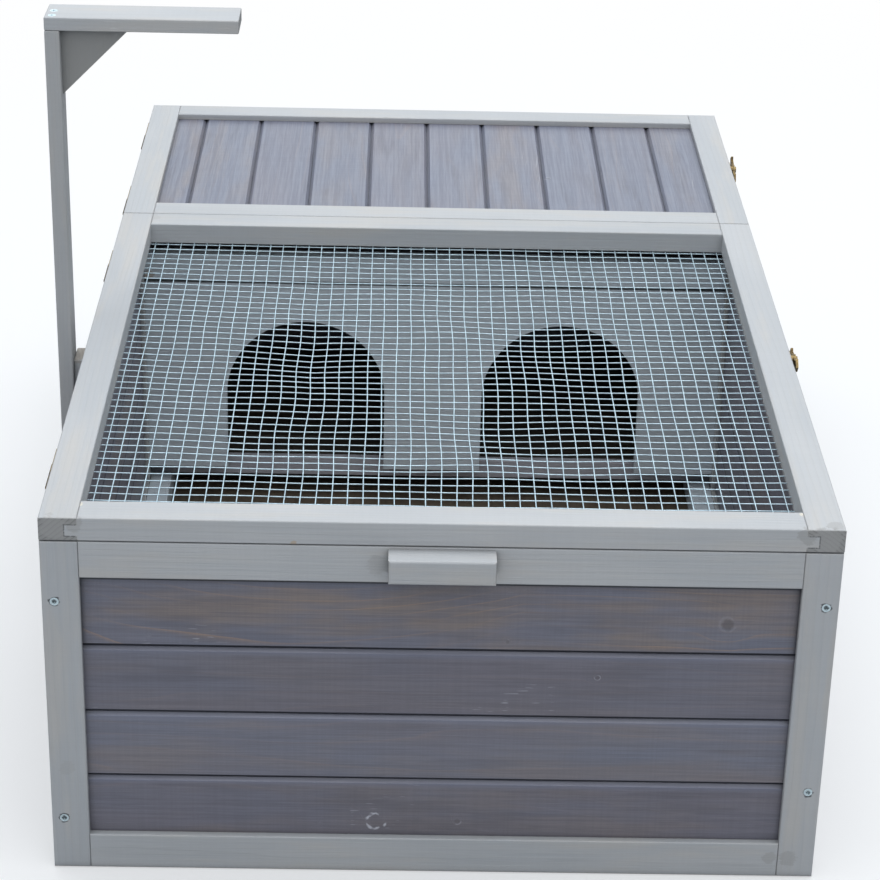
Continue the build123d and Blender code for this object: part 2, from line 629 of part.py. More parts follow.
def latch_wing():
    """The turn button: a hub, a narrow waist each side, and a shouldered point at each end."""
    start = LATCH_BOSS_HEIGHT + LATCH_GAP
    half = [
        (0, LATCH_WAIST_HALF_WIDTH),
        (LATCH_SHOULDER_START, LATCH_WAIST_HALF_WIDTH),
        (LATCH_SHOULDER_END, LATCH_SHOULDER_HALF_WIDTH),
        (LATCH_SHOULDER_END + 1, LATCH_SHOULDER_HALF_WIDTH),
        (LATCH_REACH, 0),
    ]
    right = half + [(y, -z) for y, z in reversed(half[:-1])]
    outline = make_face(Polyline(*right, close=True))
    outline += make_face(Polyline(*[(-y, z) for y, z in right], close=True))
    wing = extrude(Plane.YZ * outline, amount=LATCH_WING_THICKNESS)
    wing += disc(LATCH_HUB_RADIUS, (0, LATCH_WING_THICKNESS))
    bore = LATCH_PIVOT_RADIUS + HINGE_RUNNING_CLEARANCE
    wing -= disc(bore, (0, LATCH_WING_THICKNESS))
    return Pos(start, 0, 0) * wing


def keeper():
    """The headed stud beside the wing's waist, under which the wing's shoulder is caught."""
    stem = LATCH_BOSS_HEIGHT + LATCH_WING_THICKNESS + 3 * LATCH_GAP
    return disc(KEEPER_RADIUS, (0, stem)) + disc(KEEPER_HEAD_RADIUS, (stem, stem + KEEPER_HEAD_HEIGHT))


def make_latches():
    """A turn button on the right edge of each lid, and its keeper on the wall below."""
    keepers = []
    lids = (("mesh", MESH_LID_SPAN, MESH_LATCH_TILT), ("solid", SOLID_LID_SPAN, SOLID_LATCH_TILT))
    for name, span, tilt in lids:
        y = span_middle(span) + LATCH_BEHIND_MIDDLE
        pivot = Pos(HALF_WIDTH, y, LATCH_PIVOT_Z)
        parts[f"{name}_latch_base"] = pivot * latch_base()
        parts[f"{name}_latch_wing"] = pivot * Rot(tilt, 0, 0) * latch_wing()
        keeper_z = WALL_HEIGHT - KEEPER_BELOW_WALL_TOP
        keepers.append(Pos(HALF_WIDTH, y + KEEPER_OFFSET, keeper_z) * keeper())
    parts["latch_keepers"] = Compound(children=keepers)


def main():
    """Make every piece and write each to its own file."""
    os.makedirs("parts", exist_ok=True)
    make_end_walls()
    make_side_walls()
    make_floors()
    make_partition()
    make_handles()
    make_lamp_bracket()
    lid_frame("mesh_lid", MESH_LID_SPAN, takes_boards=False)
    make_wire_mesh()
    roof_place = lid_frame("solid_lid", SOLID_LID_SPAN, takes_boards=True)
    make_roof_boards(roof_place)
    make_hinges()
    make_latches()
    for name, shape in parts.items():
        export_step(shape, f"parts/{name}.step")
    print(len(parts), "pieces")


main()
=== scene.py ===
# %% [markdown]
# # A low two-room hutch
# A timber box with a wire-mesh lid over the run, a boarded lid over the bedroom and a lamp
# bracket on its left side. Its joints and solids are already packed, so this lesson loads them
# as a fixed frame, gives every piece of timber and metal its finish, and swaps the square bars
# that stand for the wire mesh for round, slightly bent wires.

# %% Load the frame and keep its box
import json
from math import pi, radians
import bpy
import numpy as np
from mathutils import Matrix, Vector


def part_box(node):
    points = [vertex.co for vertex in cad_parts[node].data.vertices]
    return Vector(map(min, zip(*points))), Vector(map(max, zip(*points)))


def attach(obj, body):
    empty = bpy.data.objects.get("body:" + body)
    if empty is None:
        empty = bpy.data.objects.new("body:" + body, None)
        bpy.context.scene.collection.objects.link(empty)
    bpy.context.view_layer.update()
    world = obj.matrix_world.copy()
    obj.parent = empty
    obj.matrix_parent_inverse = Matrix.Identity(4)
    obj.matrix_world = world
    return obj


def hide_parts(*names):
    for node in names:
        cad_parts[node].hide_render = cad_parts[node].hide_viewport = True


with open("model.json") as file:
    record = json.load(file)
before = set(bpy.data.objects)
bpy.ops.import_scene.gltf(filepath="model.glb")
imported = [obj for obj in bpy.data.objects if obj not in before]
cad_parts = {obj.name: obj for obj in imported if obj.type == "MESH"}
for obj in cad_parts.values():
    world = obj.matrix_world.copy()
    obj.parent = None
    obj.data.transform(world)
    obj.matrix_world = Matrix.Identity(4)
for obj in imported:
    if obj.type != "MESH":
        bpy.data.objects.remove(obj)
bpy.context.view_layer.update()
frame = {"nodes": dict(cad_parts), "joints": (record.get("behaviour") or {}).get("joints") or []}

MM = 0.001
nodes = frame["nodes"]

# %% [markdown]
# ## Camera
# The view is from in front and above, square to the front panel, from about two and a half
# metres away. A camera could be aimed with a constraint, but a place, three turns and a lens
# are exact and leave nothing live in the scene. The small roll is the tilt of a hand-held camera.

# %% Camera
CAMERA_PLACE = (-38.9 * MM, -2296.3 * MM, 1263.9 * MM)
CAMERA_DOWN = 25.75
CAMERA_RIGHT = 1.11
CAMERA_ROLL = 1.44
LENS = 106.9


def turned(degrees, axis):
    """A turn about one axis, as a four-by-four matrix."""
    return Matrix.Rotation(radians(degrees), 4, axis)


camera_data = bpy.data.cameras.new("camera")
camera_data.lens = LENS
camera_data.sensor_width = 36
camera_data.clip_end = 50
camera = bpy.data.objects.new("camera", camera_data)
aim = turned(-CAMERA_RIGHT, "Z") @ turned(90 - CAMERA_DOWN, "X") @ turned(CAMERA_ROLL, "Z")
camera.matrix_world = Matrix.Translation(CAMERA_PLACE) @ aim
scene = bpy.context.scene
scene.collection.objects.link(camera)
scene.camera = camera
print("camera", [round(v, 3) for v in camera.location], "lens", LENS, "mm")

# %% [markdown]
# ## Building nodes in code
# Every finish is a tree of shader nodes. Three small helpers keep the trees readable: one adds
# a node and fills its inputs, one does arithmetic, and one mixes two colours.

# %% Node helpers


def add(tree, kind, inputs=None, **settings):
    """Add a node, set its settings, then give each named input a value or a link."""
    node = tree.nodes.new(kind)
    for name, value in settings.items():
        setattr(node, name, value)
    for name, value in (inputs or {}).items():
        if isinstance(value, bpy.types.NodeSocket):
            tree.links.new(value, node.inputs[name])
        else:
            node.inputs[name].default_value = value
    return node


def maths(tree, operation, *values, clamp=False):
    """The result of one arithmetic step on numbers or sockets."""
    inputs = dict(enumerate(values))
    return add(tree, "ShaderNodeMath", inputs, operation=operation, use_clamp=clamp).outputs[0]


def vector(tree, operation, *values):
    """The result of one step on vectors."""
    inputs = dict(enumerate(values))
    node = add(tree, "ShaderNodeVectorMath", inputs, operation=operation)
    return node.outputs["Value" if operation in ("LENGTH", "DOT_PRODUCT") else "Vector"]


def mixed(tree, factor, first, second, blend="MIX"):
    """Two colours mixed by a factor."""
    inputs = {0: factor, 6: first, 7: second}
    node = add(tree, "ShaderNodeMix", inputs, data_type="RGBA", blend_type=blend)
    return node.outputs[2]


def ranged(tree, value, low, high, to_low=0.0, to_high=1.0):
    """A value carried smoothly from one range to another, and held at its ends."""
    inputs = {"Value": value, 1: low, 2: high, 3: to_low, 4: to_high}
    return add(tree, "ShaderNodeMapRange", inputs, interpolation_type="SMOOTHSTEP").outputs[0]


def noise(tree, place, scale, stretch=(1, 1, 1), detail=2.0, roughness=0.5):
    """Soft noise on a place, finer along the axes where stretch is larger."""
    stretched = vector(tree, "MULTIPLY", place, stretch)
    inputs = {"Vector": stretched, "Scale": scale, "Detail": detail, "Roughness": roughness}
    return add(tree, "ShaderNodeTexNoise", inputs).outputs["Fac"]


def new_group(name, ins, outs):
    """An empty node group with named inputs and outputs, and its two end nodes."""
    group = bpy.data.node_groups.new(name, "ShaderNodeTree")
    for label, kind, default in ins:
        socket = group.interface.new_socket(label, in_out="INPUT", socket_type=kind)
        socket.default_value = default
    for label, kind in outs:
        group.interface.new_socket(label, in_out="OUTPUT", socket_type=kind)
    return group, group.nodes.new("NodeGroupInput"), group.nodes.new("NodeGroupOutput")


def use_group(tree, group, inputs):
    """Place a node group in a tree and fill its inputs."""
    node = tree.nodes.new("ShaderNodeGroup")
    node.node_tree = group
    for name, value in inputs.items():
        if isinstance(value, bpy.types.NodeSocket):
            tree.links.new(value, node.inputs[name])
        else:
            node.inputs[name].default_value = value
    return node.outputs


FLOAT = "NodeSocketFloat"
VECTOR = "NodeSocketVector"
print("node helpers ready")

# %% [markdown]
# ## Timber grain
# A sawn board is a flat slice through the rings of a tree, so its lines are where the rings
# meet its faces: nearly straight where the cut is far from the heart and long arches where it is
# near. Painting that on each face would break at the edges. Here the rings are worked out in
# solid space around a wandering heart line, so the grain of a face runs on round its edges to
# the end grain. Grain always runs along the group's own X; each material turns its pieces so.

# %% Grain group: rings, fibres and patches


def make_grain():
    """Distance from a heart line along X, bent by slow noise, divided into rings.

    Rings: the fraction through a ring, raised so that only its dark end shows. Fibres: noise
    drawn out along X. Patches: broad soft noise. Chatter: faint bars across, from the planer.
    """
    ins = [("Vector", VECTOR, (0, 0, 0)), ("Ring Width", FLOAT, 0.003), ("Wander", FLOAT, 0.01)]
    ins += [("Bulge", FLOAT, 0.0), ("Sharpness", FLOAT, 5.0)]
    outs = [(name, FLOAT) for name in ("Rings", "Fibres", "Patches", "Chatter")]
    group, given, made = new_group("timber grain", ins, outs)
    place = given.outputs["Vector"]
    slow = noise(group, place, 1.0, (2.2, 14, 14), detail=1.5)
    fine = noise(group, place, 1.0, (9, 90, 90), detail=2)
    across = vector(group, "LENGTH", vector(group, "MULTIPLY", place, (0, 1, 1)))
    bend = maths(group, "MULTIPLY", maths(group, "SUBTRACT", slow, 0.5), given.outputs["Wander"])
    ripple = maths(group, "MULTIPLY", maths(group, "SUBTRACT", fine, 0.5), 0.0016)
    distance = maths(group, "ADD", maths(group, "ADD", across, bend), ripple)
    distance = maths(group, "ADD", distance, given.outputs["Bulge"])
    turns = maths(group, "DIVIDE", distance, given.outputs["Ring Width"])
    through = maths(group, "FRACT", turns)
    late = maths(group, "POWER", through, given.outputs["Sharpness"])
    edge = ranged(group, through, 0.95, 1.0, 1.0, 0.0)
    group.links.new(maths(group, "MULTIPLY", late, edge), made.inputs["Rings"])
    coarse = noise(group, place, 1.0, (7, 420, 420), detail=3, roughness=0.6)
    hair = noise(group, place, 1.0, (40, 1700, 1700), detail=2)
    coarse_share = maths(group, "MULTIPLY", coarse, 0.65)
    fibres = maths(group, "ADD", coarse_share, maths(group, "MULTIPLY", hair, 0.35))
    group.links.new(ranged(group, fibres, 0.3, 0.7), made.inputs["Fibres"])
    patches = noise(group, place, 1.0, (4.5, 22, 22), detail=2.5, roughness=0.55)
    group.links.new(ranged(group, patches, 0.28, 0.72), made.inputs["Patches"])
    bars = noise(group, place, 1.0, (520, 6, 6), detail=1)
    group.links.new(ranged(group, bars, 0.35, 0.65), made.inputs["Chatter"])
    return group


grain_group = make_grain()
print("group:", grain_group.name, [s.name for s in grain_group.interface.items_tree])

# %% [markdown]
# ## Marks that several finishes share
# Arrises lose their paint first, corners and seams are darkened with painted shade, end grain
# drinks more paint, and handling leaves short thin scuffs. Each is a mask made once. The arris
# mask compares the true normal with one rounded over two millimetres, so it is bright only where
# two faces meet.
# End grain is where the face looks along the grain, read from the object's own normal so that it
# turns with a lid. A lid's front rail ends in square tongues that lie flush with the stiles, so
# their outline is drawn as a mask too.

# %% Arris, painted shade, joint, end grain and scuff groups
TONGUE_MIDDLE = (289 * MM, 314 * MM)
TONGUE_HALF = 5 * MM


def make_arris():
    """One minus the dot of the normal and the normal rounded over a radius, made steeper."""
    group, given, made = new_group("arris", [("Radius", FLOAT, 0.002)], [("Mask", FLOAT)])
    rounded = add(group, "ShaderNodeBevel", {"Radius": given.outputs["Radius"]}, samples=4)
    flat = add(group, "ShaderNodeNewGeometry").outputs["Normal"]
    same = vector(group, "DOT_PRODUCT", rounded.outputs[0], flat)
    group.links.new(ranged(group, same, 0.995, 0.86), made.inputs["Mask"])
    return group


def make_end_grain():
    """The size of the normal's part along the grain, taken as a mask from three quarters up."""
    group, given, made = new_group("end grain", [("Grain", VECTOR, (1, 0, 0))], [("Mask", FLOAT)])
    normal = add(group, "ShaderNodeTexCoord").outputs["Normal"]
    along = maths(group, "ABSOLUTE", vector(group, "DOT_PRODUCT", normal, given.outputs["Grain"]))
    group.links.new(ranged(group, along, 0.7, 0.95), made.inputs["Mask"])
    return group


def make_scuffs():
    """The peaks of noise drawn out along X, kept only where a second, broad noise is high."""
    ins = [("Vector", VECTOR, (0, 0, 0)), ("Amount", FLOAT, 0.5)]
    group, given, made = new_group("scuffs", ins, [("Mask", FLOAT)])
    place = given.outputs["Vector"]
    tilted = add(group, "ShaderNodeMapping", {"Vector": place, "Rotation": (0.0, 0.0, 0.09)})
    thin = noise(group, tilted.outputs[0], 1.0, (15, 900, 900), detail=0)
    where = noise(group, place, 1.0, (7, 16, 16), detail=0)
    kept = ranged(group, where, 0.69, 0.76)
    mask = maths(group, "MULTIPLY", ranged(group, thin, 0.74, 0.8), kept)
    mask = maths(group, "MULTIPLY", mask, given.outputs["Amount"])
    group.links.new(mask, made.inputs["Mask"])
    return group


def make_occlusion_shade():
    """Painted shade: how closed in a point is within a few millimetres, from its open share."""
    group, given, made = new_group("occlusion_shade", [("Reach", FLOAT, 0.006)], [("Mask", FLOAT)])
    reach = {"Distance": given.outputs["Reach"]}
    open_share = add(group, "ShaderNodeAmbientOcclusion", reach, samples=6)
    group.links.new(ranged(group, open_share.outputs["AO"], 0.9, 0.3), made.inputs["Mask"])
    return group


def make_joint_line():
    """The outline of a square tongue on the end of a rail, the same at both ends.

    The distance to the square is the larger of the distances across and up from its middle,
    less half its side; the line is where that is near nothing, past the stile's inner edge.
    """
    group, given, made = new_group("joint line", [("Vector", VECTOR, (0, 0, 0))], [("Mask", FLOAT)])
    place = given.outputs["Vector"]
    parts = add(group, "ShaderNodeSeparateXYZ", {0: place}).outputs
    out = maths(group, "ABSOLUTE", parts["X"])
    across = maths(group, "ABSOLUTE", maths(group, "SUBTRACT", out, TONGUE_MIDDLE[0]))
    up = maths(group, "ABSOLUTE", maths(group, "SUBTRACT", parts["Z"], TONGUE_MIDDLE[1]))
    away = maths(group, "SUBTRACT", maths(group, "MAXIMUM", across, up), TONGUE_HALF)
    line = ranged(group, maths(group, "ABSOLUTE", away), 0.75 * MM, 0.3 * MM)
    starts = TONGUE_MIDDLE[0] - 0.9 * TONGUE_HALF
    past = ranged(group, out, starts, TONGUE_MIDDLE[0] - 0.8 * TONGUE_HALF)
    broken = ranged(group, noise(group, place, 700.0, detail=1), 0.35, 0.5, 0.25, 1.0)
    mask = maths(group, "MULTIPLY", maths(group, "MULTIPLY", line, past), broken)
    group.links.new(mask, made.inputs["Mask"])
    return group


joint_group = make_joint_line()
arris_group = make_arris()
occlusion_shade_group = make_occlusion_shade()
end_grain_group = make_end_grain()
scuff_group = make_scuffs()
print("groups:", arris_group.name, occlusion_shade_group.name, joint_group.name)
print("groups:", end_grain_group.name, scuff_group.name)

# %% [markdown]
# ## Knots and stains
# A knot is a branch cut across: a dark core, a paler rim, and rings that bow around it. One
# group measures the distance from a given centre, roughened with noise, and puts out all three.
# The same soft spot, without a core, serves for the filler at a joint or a bare patch.

# %% Knot and spot groups


def make_knot():
    """Core and rim masks by noisy distance from a centre, and a bulge that fades outside it."""
    ins = [("Vector", VECTOR, (0, 0, 0)), ("Centre", VECTOR, (0, 0, 0)), ("Radius", FLOAT, 0.005)]
    outs = [("Core", FLOAT), ("Rim", FLOAT), ("Bulge", FLOAT)]
    group, given, made = new_group("knot", ins, outs)
    place = given.outputs["Vector"]
    rough = noise(group, place, 260.0, detail=2)
    away = vector(group, "LENGTH", vector(group, "SUBTRACT", place, given.outputs["Centre"]))
    size = maths(group, "DIVIDE", away, given.outputs["Radius"])
    torn = maths(group, "MULTIPLY", maths(group, "SUBTRACT", rough, 0.5), 0.7)
    size = maths(group, "ADD", size, torn)
    core = ranged(group, size, 0.95, 0.55)
    broken = ranged(group, noise(group, place, 150.0, detail=0), 0.42, 0.56)
    rim = maths(group, "SUBTRACT", ranged(group, size, 1.3, 1.1), ranged(group, size, 1.0, 0.85))
    rim = maths(group, "MULTIPLY", rim, broken, clamp=True)
    group.links.new(core, made.inputs["Core"])
    group.links.new(rim, made.inputs["Rim"])
    squared = maths(group, "MULTIPLY", size, size)
    fall = maths(group, "EXPONENT", maths(group, "MULTIPLY", squared, -0.14))
    group.links.new(maths(group, "MULTIPLY", fall, 0.007), made.inputs["Bulge"])
    return group


def make_spot():
    """A soft blot: one inside a radius, torn at its edge by noise, and nothing outside."""
    ins = [("Vector", VECTOR, (0, 0, 0)), ("Centre", VECTOR, (0, 0, 0)), ("Radius", FLOAT, 0.01)]
    group, given, made = new_group("spot", ins, [("Mask", FLOAT)])
    place = given.outputs["Vector"]
    rough = noise(group, place, 120.0, (1, 1, 2.5), detail=3, roughness=0.65)
    away = vector(group, "LENGTH", vector(group, "SUBTRACT", place, given.outputs["Centre"]))
    size = maths(group, "DIVIDE", away, given.outputs["Radius"])
    torn = maths(group, "MULTIPLY", maths(group, "SUBTRACT", rough, 0.5), 1.6)
    size = maths(group, "ADD", size, torn)
    group.links.new(ranged(group, size, 1.05, 0.8), made.inputs["Mask"])
    return group


knot_group = make_knot()
spot_group = make_spot()
print("groups:", knot_group.name, spot_group.name)

# %% [markdown]
# ## Boards that differ
# Several boards share one CAD piece, yet no two real boards match. The place across the boards,
# counted from a seam in steps of the board's width, gives each board its own number, and white
# noise on that number gives it its own tint and its own piece of the tree.

# %% Board group


def make_board_numbers():
    """The whole number of pitches from a seam, white noise on it for shade and shift, and the
    distance past the last seam, which is the fraction of a pitch times the pitch."""
    ins = [("Place", FLOAT, 0.0), ("Seam", FLOAT, 0.0)]
    ins += [("Pitch", FLOAT, 0.061), ("Bay", FLOAT, 0.0)]
    outs = [("Shade", FLOAT), ("Warmth", FLOAT), ("Shift", VECTOR), ("Past Seam", FLOAT)]
    group, given, made = new_group("board numbers", ins, outs)
    past_seam = maths(group, "SUBTRACT", given.outputs["Place"], given.outputs["Seam"])
    steps = maths(group, "DIVIDE", past_seam, given.outputs["Pitch"])
    number = maths(group, "ADD", maths(group, "FLOOR", steps), given.outputs["Bay"])
    random = add(group, "ShaderNodeTexWhiteNoise", {"W": number}, noise_dimensions="1D")
    parts = add(group, "ShaderNodeSeparateColor", {"Color": random.outputs["Color"]})
    group.links.new(parts.outputs[0], made.inputs["Shade"])
    group.links.new(parts.outputs[1], made.inputs["Warmth"])
    shift = vector(group, "MULTIPLY", random.outputs["Color"], (5.0, 0.03, 0.02))
    group.links.new(shift, made.inputs["Shift"])
    past = maths(group, "MULTIPLY", maths(group, "FRACT", steps), given.outputs["Pitch"])
    group.links.new(past, made.inputs["Past Seam"])
    return group


board_group = make_board_numbers()
print("group:", board_group.name)

# %% [markdown]
# ## Painted frame timber
# The frame is spruce under a thin pale grey paint that lets the fibres and the rings show
# through. It is a plain diffuse surface, so the work goes into colour: a shade that drifts over
# each piece, streaks along the fibres, warm wood showing on the arrises and greyer end grain.
# Each piece gets its own copy, moved to another part of the tree, so no two match.

# %% Painted timber
PAINT = (0.530, 0.540, 0.555, 1)
PAINT_SHADE = (0.455, 0.475, 0.500, 1)
PAINT_WARM = (0.555, 0.530, 0.500, 1)
PAINT_STREAK = (0.60, 0.585, 0.565, 1)
PAINT_LINE = (0.33, 0.34, 0.345, 1)
PAINT_WORN = (0.52, 0.46, 0.385, 1)
PAINT_END = (0.31, 0.305, 0.295, 1)
PAINT_END_LINE = (0.13, 0.125, 0.12, 1)
# A lighter, bluer paint: painted light for the pieces inside the hutch.
PAINT_INSIDE_LIT = (0.64, 0.71, 0.77, 1)
# Dark grey for painted shade, and for the dark lines of the lids' joints.
PAINT_SHADOW_AND_JOINT = (0.13, 0.135, 0.14, 1)
PAINT_SCUFF = (0.7, 0.72, 0.72, 1)
FILLER = (0.385, 0.38, 0.375, 1)
BARE_WOOD = (0.50, 0.40, 0.30, 1)
PALE_FILLER = (0.80, 0.73, 0.60, 1)
SCREW_SHADOW = (0.045, 0.05, 0.055, 1)
GRAIN_TURN = {"X": (0, 0, 0), "Y": (0, 0, -pi / 2), "Z": (0, pi / 2, 0)}
GRAIN_WAY = {"X": (1, 0, 0), "Y": (0, 1, 0), "Z": (0, 0, 1)}
random = np.random.default_rng(7)


def start_material(name):
    """A material with an empty tree, its shader, and the place of the surface."""
    material = bpy.data.materials.new(name)
    material.use_nodes = True
    tree = material.node_tree
    tree.nodes.clear()
    shader = tree.nodes.new("ShaderNodeBsdfPrincipled")
    output = tree.nodes.new("ShaderNodeOutputMaterial")
    tree.links.new(shader.outputs[0], output.inputs["Surface"])
    place = add(tree, "ShaderNodeTexCoord").outputs["Object"]
    return material, tree, shader, place


def bumped(tree, shader, height, distance, strength=0.5):
    """Feed a height to the shader's normal through a Bump node."""
    inputs = {"Height": height, "Distance": distance, "Strength": strength}
    tree.links.new(add(tree, "ShaderNodeBump", inputs).outputs[0], shader.inputs["Normal"])


def grain_place(tree, place, grain):
    """The place turned so that the grain runs along X, moved to a random part of the tree."""
    shift = (random.uniform(0, 9), random.uniform(-0.05, 0.05), random.uniform(0.03, 0.09))
    inputs = {"Vector": place, "Rotation": GRAIN_TURN[grain], "Location": shift}
    return add(tree, "ShaderNodeMapping", inputs).outputs[0]


def spots_on(tree, place, colour, spots, tint):
    """Lay soft blots of a tint over a colour, one for each centre and radius in millimetres."""
    for centre, radius, strength in spots:
        inputs = {"Vector": place, "Centre": [v * MM for v in centre], "Radius": radius * MM}
        mask = use_group(tree, spot_group, inputs)["Mask"]
        colour = mixed(tree, maths(tree, "MULTIPLY", mask, strength), colour, tint)
    return colour


def painted_timber(name, grain, filler=(), bare=(), pale=(), screws=(), darkening=0.0, inside=0.0):
    """Grey paint over spruce whose grain runs along X, Y or Z.

    The darkening share takes the paint towards the grey of its end grain; on the gusset under the
    lamp arm this is painted shade. Inside takes it towards a lighter, bluer paint, as painted light
    that brightens the pieces inside the hutch.
    """
    material, tree, shader, place = start_material(name)
    along = grain_place(tree, place, grain)
    tone = random.uniform(0.0, 0.45)
    wood = use_group(tree, grain_group, {"Vector": along, "Ring Width": 0.0034, "Wander": 0.012})
    arris_edges = use_group(tree, arris_group, {"Radius": 0.0018})["Mask"]
    occlusion_shade = use_group(tree, occlusion_shade_group, {"Reach": 0.009})["Mask"]
    end = use_group(tree, end_grain_group, {"Grain": GRAIN_WAY[grain]})["Mask"]
    scuffs = use_group(tree, scuff_group, {"Vector": along, "Amount": 0.3})["Mask"]
    shade = ranged(tree, wood["Patches"], 0.0, 1.0, tone, tone + 0.55)
    colour = mixed(tree, shade, PAINT, PAINT_SHADE)
    drift = noise(tree, along, 1.0, (7, 45, 45), detail=3, roughness=0.6)
    colour = mixed(tree, ranged(tree, drift, 0.45, 0.7, 0.0, 0.6), colour, PAINT_WARM)
    colour = mixed(tree, maths(tree, "MULTIPLY", wood["Fibres"], 0.24), colour, PAINT_STREAK)
    colour = mixed(tree, maths(tree, "MULTIPLY", wood["Rings"], 0.15), colour, PAINT_LINE)
    colour = mixed(tree, maths(tree, "MULTIPLY", wood["Chatter"], 0.035), colour, PAINT_LINE)
    torn = maths(tree, "MULTIPLY", arris_edges, ranged(tree, wood["Fibres"], 0.35, 0.8, 0.05, 0.45))
    colour = mixed(tree, torn, colour, PAINT_WORN)
    end_grain = mixed(tree, wood["Rings"], PAINT_END, PAINT_END_LINE)
    colour = mixed(tree, maths(tree, "MULTIPLY", end, 0.85), colour, end_grain)
    # Painted shade: darker towards the grey of end grain, by the darkening share.
    colour = mixed(tree, darkening, colour, PAINT_END)
    # Painted light: lighter and bluer, by the inside share.
    colour = mixed(tree, inside, colour, PAINT_INSIDE_LIT)
    colour = mixed(tree, scuffs, colour, PAINT_SCUFF)
    colour = spots_on(tree, place, colour, filler, FILLER)
    if "_lid_" in name:
        line = use_group(tree, joint_group, {"Vector": place})["Mask"]
        colour = mixed(tree, maths(tree, "MULTIPLY", line, 0.8), colour, PAINT_SHADOW_AND_JOINT)
    colour = spots_on(tree, place, colour, bare, BARE_WOOD)
    colour = spots_on(tree, place, colour, pale, PALE_FILLER)
    colour = spots_on(tree, place, colour, screws, SCREW_SHADOW)
    # Painted shade in corners, in seams and under parts that stand out, weaker on the lids.
    painted_shade = 0.3 if "_lid_" in name else 0.6
    colour = mixed(tree, maths(tree, "MULTIPLY", occlusion_shade, painted_shade), colour, PAINT_SHADOW_AND_JOINT)
    tree.links.new(colour, shader.inputs["Base Color"])
    rough = ranged(tree, wood["Fibres"], 0.0, 1.0, 0.5, 0.68)
    tree.links.new(rough, shader.inputs["Roughness"])
    shader.inputs["Specular IOR Level"].default_value = 0.35
    height = maths(tree, "SUBTRACT", wood["Fibres"], maths(tree, "MULTIPLY", wood["Rings"], 0.6))
    bumped(tree, shader, height, 0.0003, 0.45)
    return material


def screw_middles(node, reach=9 * MM):
    """The middle of each screw head in a CAD piece: corners at the face, gathered by nearness."""
    co = np.array([v.co for v in nodes[node].data.vertices])
    face = co[np.abs(np.abs(co[:, 1]) - np.abs(co[:, 1]).max()) < 0.05 * MM]
    middles = []
    while len(face):
        near = np.linalg.norm(face - face[0], axis=1) < reach
        middles.append((face[near].min(0) + face[near].max(0)) / 2)
        face = face[~near]
    return middles


def dress(node, material):
    """Put a material in every slot of a CAD piece."""
    piece = nodes[node]
    for slot in piece.material_slots:
        slot.material = material


PAINTED = {
    "X": "front_top_rail front_bottom_rail back_top_rail back_bottom_rail partition_rail "
         "doorway_panel front_handle back_handle lamp_arm mesh_lid_front_rail "
         "mesh_lid_back_rail solid_lid_front_rail solid_lid_back_rail",
    "Y": "left_wall_top_rail left_wall_bottom_rail right_wall_top_rail right_wall_bottom_rail "
         "floor_bearers mesh_lid_left_stile mesh_lid_right_stile solid_lid_left_stile "
         "solid_lid_right_stile",
    "Z": "front_left_stile front_right_stile back_left_stile back_right_stile "
         "left_wall_front_post left_wall_back_post left_wall_middle_post right_wall_front_post "
         "right_wall_back_post right_wall_middle_post partition_cleats lamp_post lamp_block "
         "lamp_gusset",
}
FILLER_SPOTS = {
    "mesh_lid_left_stile": [((-302, -500, 316), 11, 0.6)],
    "mesh_lid_right_stile": [((300, -500, 316), 12, 0.7), ((306, -492, 325), 8, 0.5)],
    "mesh_lid_front_rail": [((-286, -499, 319), 7, 0.5), ((284, -500, 319), 8, 0.6)],
    "mesh_lid_back_rail": [((-284, 150, 325), 9, 0.3)],
    "front_right_stile": [((292, -500, 18), 8, 0.5)],
    "front_bottom_rail": [((277, -500, 18), 6, 0.5)],
    "front_left_stile": [((-300, -500, 96), 7, 0.25)],
    "front_top_rail": [((-50, -500, 288), 9, 0.4)],
}
BARE_SPOTS = {
    "partition_rail": [((-289, 148, 263), 6, 0.6)],
    "mesh_lid_front_rail": [((-116, -500, 305), 3, 0.8)],
    "lamp_block": [((-324, -90, 283), 17, 0.35)],
}
PALE_SPOTS = {
    "mesh_lid_front_rail": [((-283, -476, 329), 5, 0.7), ((283, -474, 329), 5, 0.7)],
    "mesh_lid_right_stile": [((284, 152, 329), 4, 0.6)],
    "solid_lid_right_stile": [((284, 158, 329), 5, 0.6)],
}
# Painted shade on the gusset, which sits under the lamp arm; the post is darkened a little too.
DARKENED_PIECES = {"lamp_gusset": 0.85, "lamp_post": 0.2}
# Pieces inside the hutch get painted light: a lighter, bluer paint, so that they look brighter.
INSIDE = "doorway_panel partition_rail partition_cleats floor_bearers".split()
INSIDE_LIGHTENING = 0.8
SCREW_RING = 4.6
SCREW_RING_DARK = 0.85
SCREW_TO_FACE = 30 * MM
screw_places = screw_middles("panel_screws")
for grain, names in PAINTED.items():
    for name in names.split():
        low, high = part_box(name)
        rings = [
            (middle / MM, SCREW_RING, SCREW_RING_DARK)
            for middle in screw_places
            if name.endswith("stile")
            and low.x < middle[0] < high.x
            and abs(low.y - middle[1]) < SCREW_TO_FACE
        ]
        lightening = INSIDE_LIGHTENING * (name in INSIDE)
        finish = painted_timber(
            f"paint_{name}", grain, FILLER_SPOTS.get(name, ()), BARE_SPOTS.get(name, ()),
            PALE_SPOTS.get(name, ()), rings, DARKENED_PIECES.get(name, 0.0), lightening
        )
        dress(name, finish)
print("painted", sum(len(names.split()) for names in PAINTED.values()), "pieces")

# %% [markdown]
# ## Stained boards
# The boards are the same spruce under a dark violet-grey stain. The stain is thinner than the
# paint, so more of the wood comes through: blue-grey where it lies thick, brown where it wore
# thin, and a few orange latewood lines in long arches. A sheen of wax makes them a little
# glossier than the frame. Boards differ, so tint, warmth and the piece of the tree they are
# cut from all follow each board's own number.

